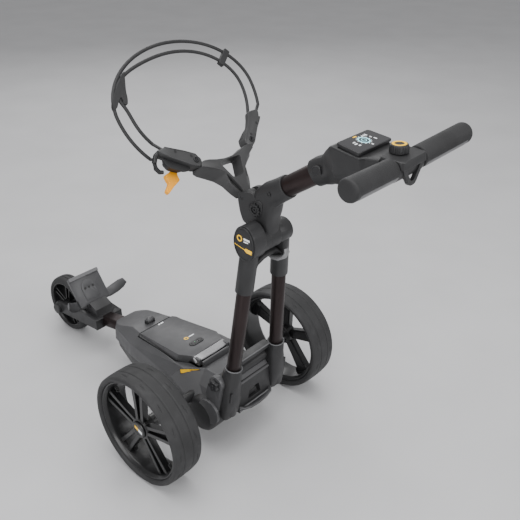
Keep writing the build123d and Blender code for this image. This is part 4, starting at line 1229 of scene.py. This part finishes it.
def star_bolt():
    """Five-lobed bolt head on the left end of the leg pivot."""
    rings = []
    for y, scale in ((112.0, 0.9), (113.5, 1.0), (121.0, 1.0), (123.0, 0.9)):
        ring = []
        for i in range(90):
            angle = 2 * math.pi * i / 90
            radius = scale * (14.0 + 2.6 * math.cos(5 * angle))
            ring.append((LEG_PIVOT[0] + radius * math.cos(angle), y, LEG_PIVOT[1] + radius * math.sin(angle)))
        rings.append(ring)
    button = [(123.0, 5.4), (125.4, 5.0), (125.4, 0.0), (123.0, 0.0)]
    return loft(rings).join(lathe(button, *LEG_PIVOT, 40))


def lid_ring():
    """Dark gasket line round the lid, at the casing's rim."""
    outer = radial(rounded(two_sided(LID_SEAM), 12), LID_MIDDLE, 120)
    inner = [(x + (LID_MIDDLE[0] - x) * 0.022, y * 0.965) for x, y in outer]
    rings = []
    for outline, z in ((outer, 195.6), (outer, 196.9), (inner, 196.9), (inner, 195.6)):
        rings.append([(x, y, z) for x, y in outline])
    return loft(rings, wrap=True)


def make_chassis():
    flanks = make_piece("rear_flanks", both_sides(flank()), "chassis", "housing", bevel=0.9, angle=12)
    drums, covers, bolts = both_sides(axle_drum()), both_sides(motor_cover()), both_sides(star_bolt())
    make_piece("axle_drums", drums, "chassis", "casting", replaces=["axle_housings", "axle_bearings"])
    make_piece("motor_covers", covers, "chassis", "casting", replaces=["motor"], angle=40)
    make_piece("star_bolts", bolts, "chassis", "black_plastic", replaces=["lower_pin_caps"], bevel=0.5)
    make_piece("carry_handle", carry_handle(), "battery", "pale_plastic", None, ["battery_handle"], angle=40)
    mound = catch_mound()
    make_piece("catch_mound", mound, "battery_catch", "housing", "black_plastic", ["battery_catch"], angle=40)
    band = rounded([(8, 196.5), (21, 196.5), (20, 209), (14, 209)], 2)
    make_piece("bay_rear_band", prism(band, -48, 48, side_place), "chassis", "housing", bevel=0.6)
    make_piece("lid_gasket", lid_ring(), "chassis", "black_plastic", "housing")
    field = [(56, 92, 193), (14, 60, 193), (14, 66, 184), (50, 95, 184)]
    mark = [(54, 91, 192), (36, 78, 192), (32, 77, 188.5), (34, 80, 185), (49, 94, 185)]
    line = [(36, 78, 192), (15, 61, 192), (15, 62, 190.6), (34, 78, 190.6)]
    for name, points, thickness, key in (("badge_field", field, 3.2, "black_plastic"),
                                         ("badge_mark", mark, 3.8, "yellow_print"),
                                         ("badge_line", line, 3.8, "yellow_print")):
        make_piece(name, label(flanks, points, thickness), "chassis", key, "housing")
    make_lid_marks()


def lid_label(outline, node="battery_lid", rise=0.0, thickness=0.3):
    """Label over an outline of (x, y) points on the battery's lid, or on a piece that stands on it."""
    return label(NODES[node], [(x, y, lid_height(x) + rise) for x, y in outline], thickness)


def make_lid_marks():
    white = Shape()
    for low, high in ((-20, -10), (-8, -2)):
        white.join(lid_label([(251, low), (251, high), (245, high + 2), (245, low + 2)]))
    white.join(lid_label([(128, -24), (128, -6), (124, -6), (124, -24)]))
    make_piece("lid_marks", white, "battery", "white_print", "housing")
    ball = Shape()
    for start in range(0, 360, 30):
        ball.join(lid_label(ring_sector((126, 4), 6.5, 3.6, start, start + 30, 4)))
    make_piece("lid_ball", ball, "battery", "yellow_print", "housing")
    dot = lid_label(arc_points((BUTTON_X, BUTTON_Y), 2.2, 0, 345, 24), "power_button", 4, 0.9)
    make_piece("power_dot", dot, "power_button", "white_print", "black_plastic")
    light = lid_label(arc_points((BUTTON_X, -BUTTON_Y), 4.0, 0, 345, 24), "gauge_button", 4, 0.9)
    make_piece("gauge_light", light, "gauge_button", "green_light", "black_plastic")


make_chassis()


# ------------------------------------------------------------------ front frame trims
REST_NORMAL = (-0.82, 0, 0.57)


def rest_ear():
    """Flat blade that turns out and up from the bag rest's lower corner."""
    path = [(560, 40, 163), (561, 60, 163), (552, 80, 173), (540, 95, 187), (531, 104, 198)]
    return tube(path, [12, 15, 16, 15, 10], 20, 0.24, REST_NORMAL)


def make_front_trims():
    path = [(561, -48, 163), (555, -25, 159), (553, 0, 158), (555, 25, 159), (561, 48, 163)]
    ears = both_sides(rest_ear()).join(tube(path, 12.0, 20, 0.26, REST_NORMAL))
    make_piece("rest_ears", ears, "front_frame", "housing", replaces=["bag_rest_ears"], angle=50)
    mark = [(622, 40, 125), (590, 40, 133), (590, 40, 127), (622, 40, 118)]
    make_piece("fork_mark", label(NODES["front_fork"], mark, 2.5), "front_frame", "yellow_print", "casting")
    place = sloped_place((545, 160), 56.0)
    strip = rounded([(88, -52), (98.4, -52), (98.4, 52), (88, 52)], 2)
    make_piece("rest_lip", prism(strip, 4.6, 5.6, place), "front_frame", "edge_grey", "housing", bevel=0.4)
    # Black discs stand in for the bag rest's three holes: painted shade in the holes.
    hole_shades = Shape()
    for y in (-14, 0, 14):
        hole_shades.join(prism(arc_points((52, y), 3.9, 0, 345, 24), 1.2, 3.6, place))
    make_piece("rest_hole_shades", hole_shades, "front_frame", "rim_gloss", "housing")


make_front_trims()


# ------------------------------------------------------------------ stage
def make_stage():
    bpy.ops.mesh.primitive_plane_add(size=90)
    floor = bpy.context.object
    floor.name = "floor"
    n = Nodes("floor_paper")
    n.link(n.mix(n.cloud(3.0, 3.0), (0.56, 0.56, 0.57), (0.6, 0.6, 0.61)), n.shader.inputs["Base Color"])
    n.shader.inputs["Roughness"].default_value = 0.7
    floor.data.materials.append(n.material)


def make_light(name, place, target, size, power):
    data = bpy.data.lights.new(name, "AREA")
    data.shape = "RECTANGLE"
    data.size, data.size_y = size
    data.energy = power
    lamp = bpy.data.objects.new(name, data)
    bpy.context.scene.collection.objects.link(lamp)
    lamp.location = place
    aim = Vector(target) - Vector(place)
    lamp.rotation_mode = "QUATERNION"
    lamp.rotation_quaternion = aim.to_track_quat("-Z", "Y")


def make_lights():
    centre = (0, 0, 0.4)
    make_light("top_light", (-0.2, 0.3, 3.2), centre, (3.0, 3.0), 90)
    make_light("left_light", (-1.2, 3.2, 1.8), centre, (2.2, 2.2), 60)
    make_light("rear_light", (-3.2, -0.6, 2.0), centre, (2.2, 2.2), 50)
    make_light("far_light", (2.6, -2.2, 2.4), centre, (2.5, 2.0), 40)
    world = bpy.data.worlds.new("studio")
    world.use_nodes = True
    background = world.node_tree.nodes["Background"]
    background.inputs["Color"].default_value = (0.8, 0.8, 0.81, 1)
    background.inputs["Strength"].default_value = 0.55
    bpy.context.scene.world = world


make_stage()
make_lights()
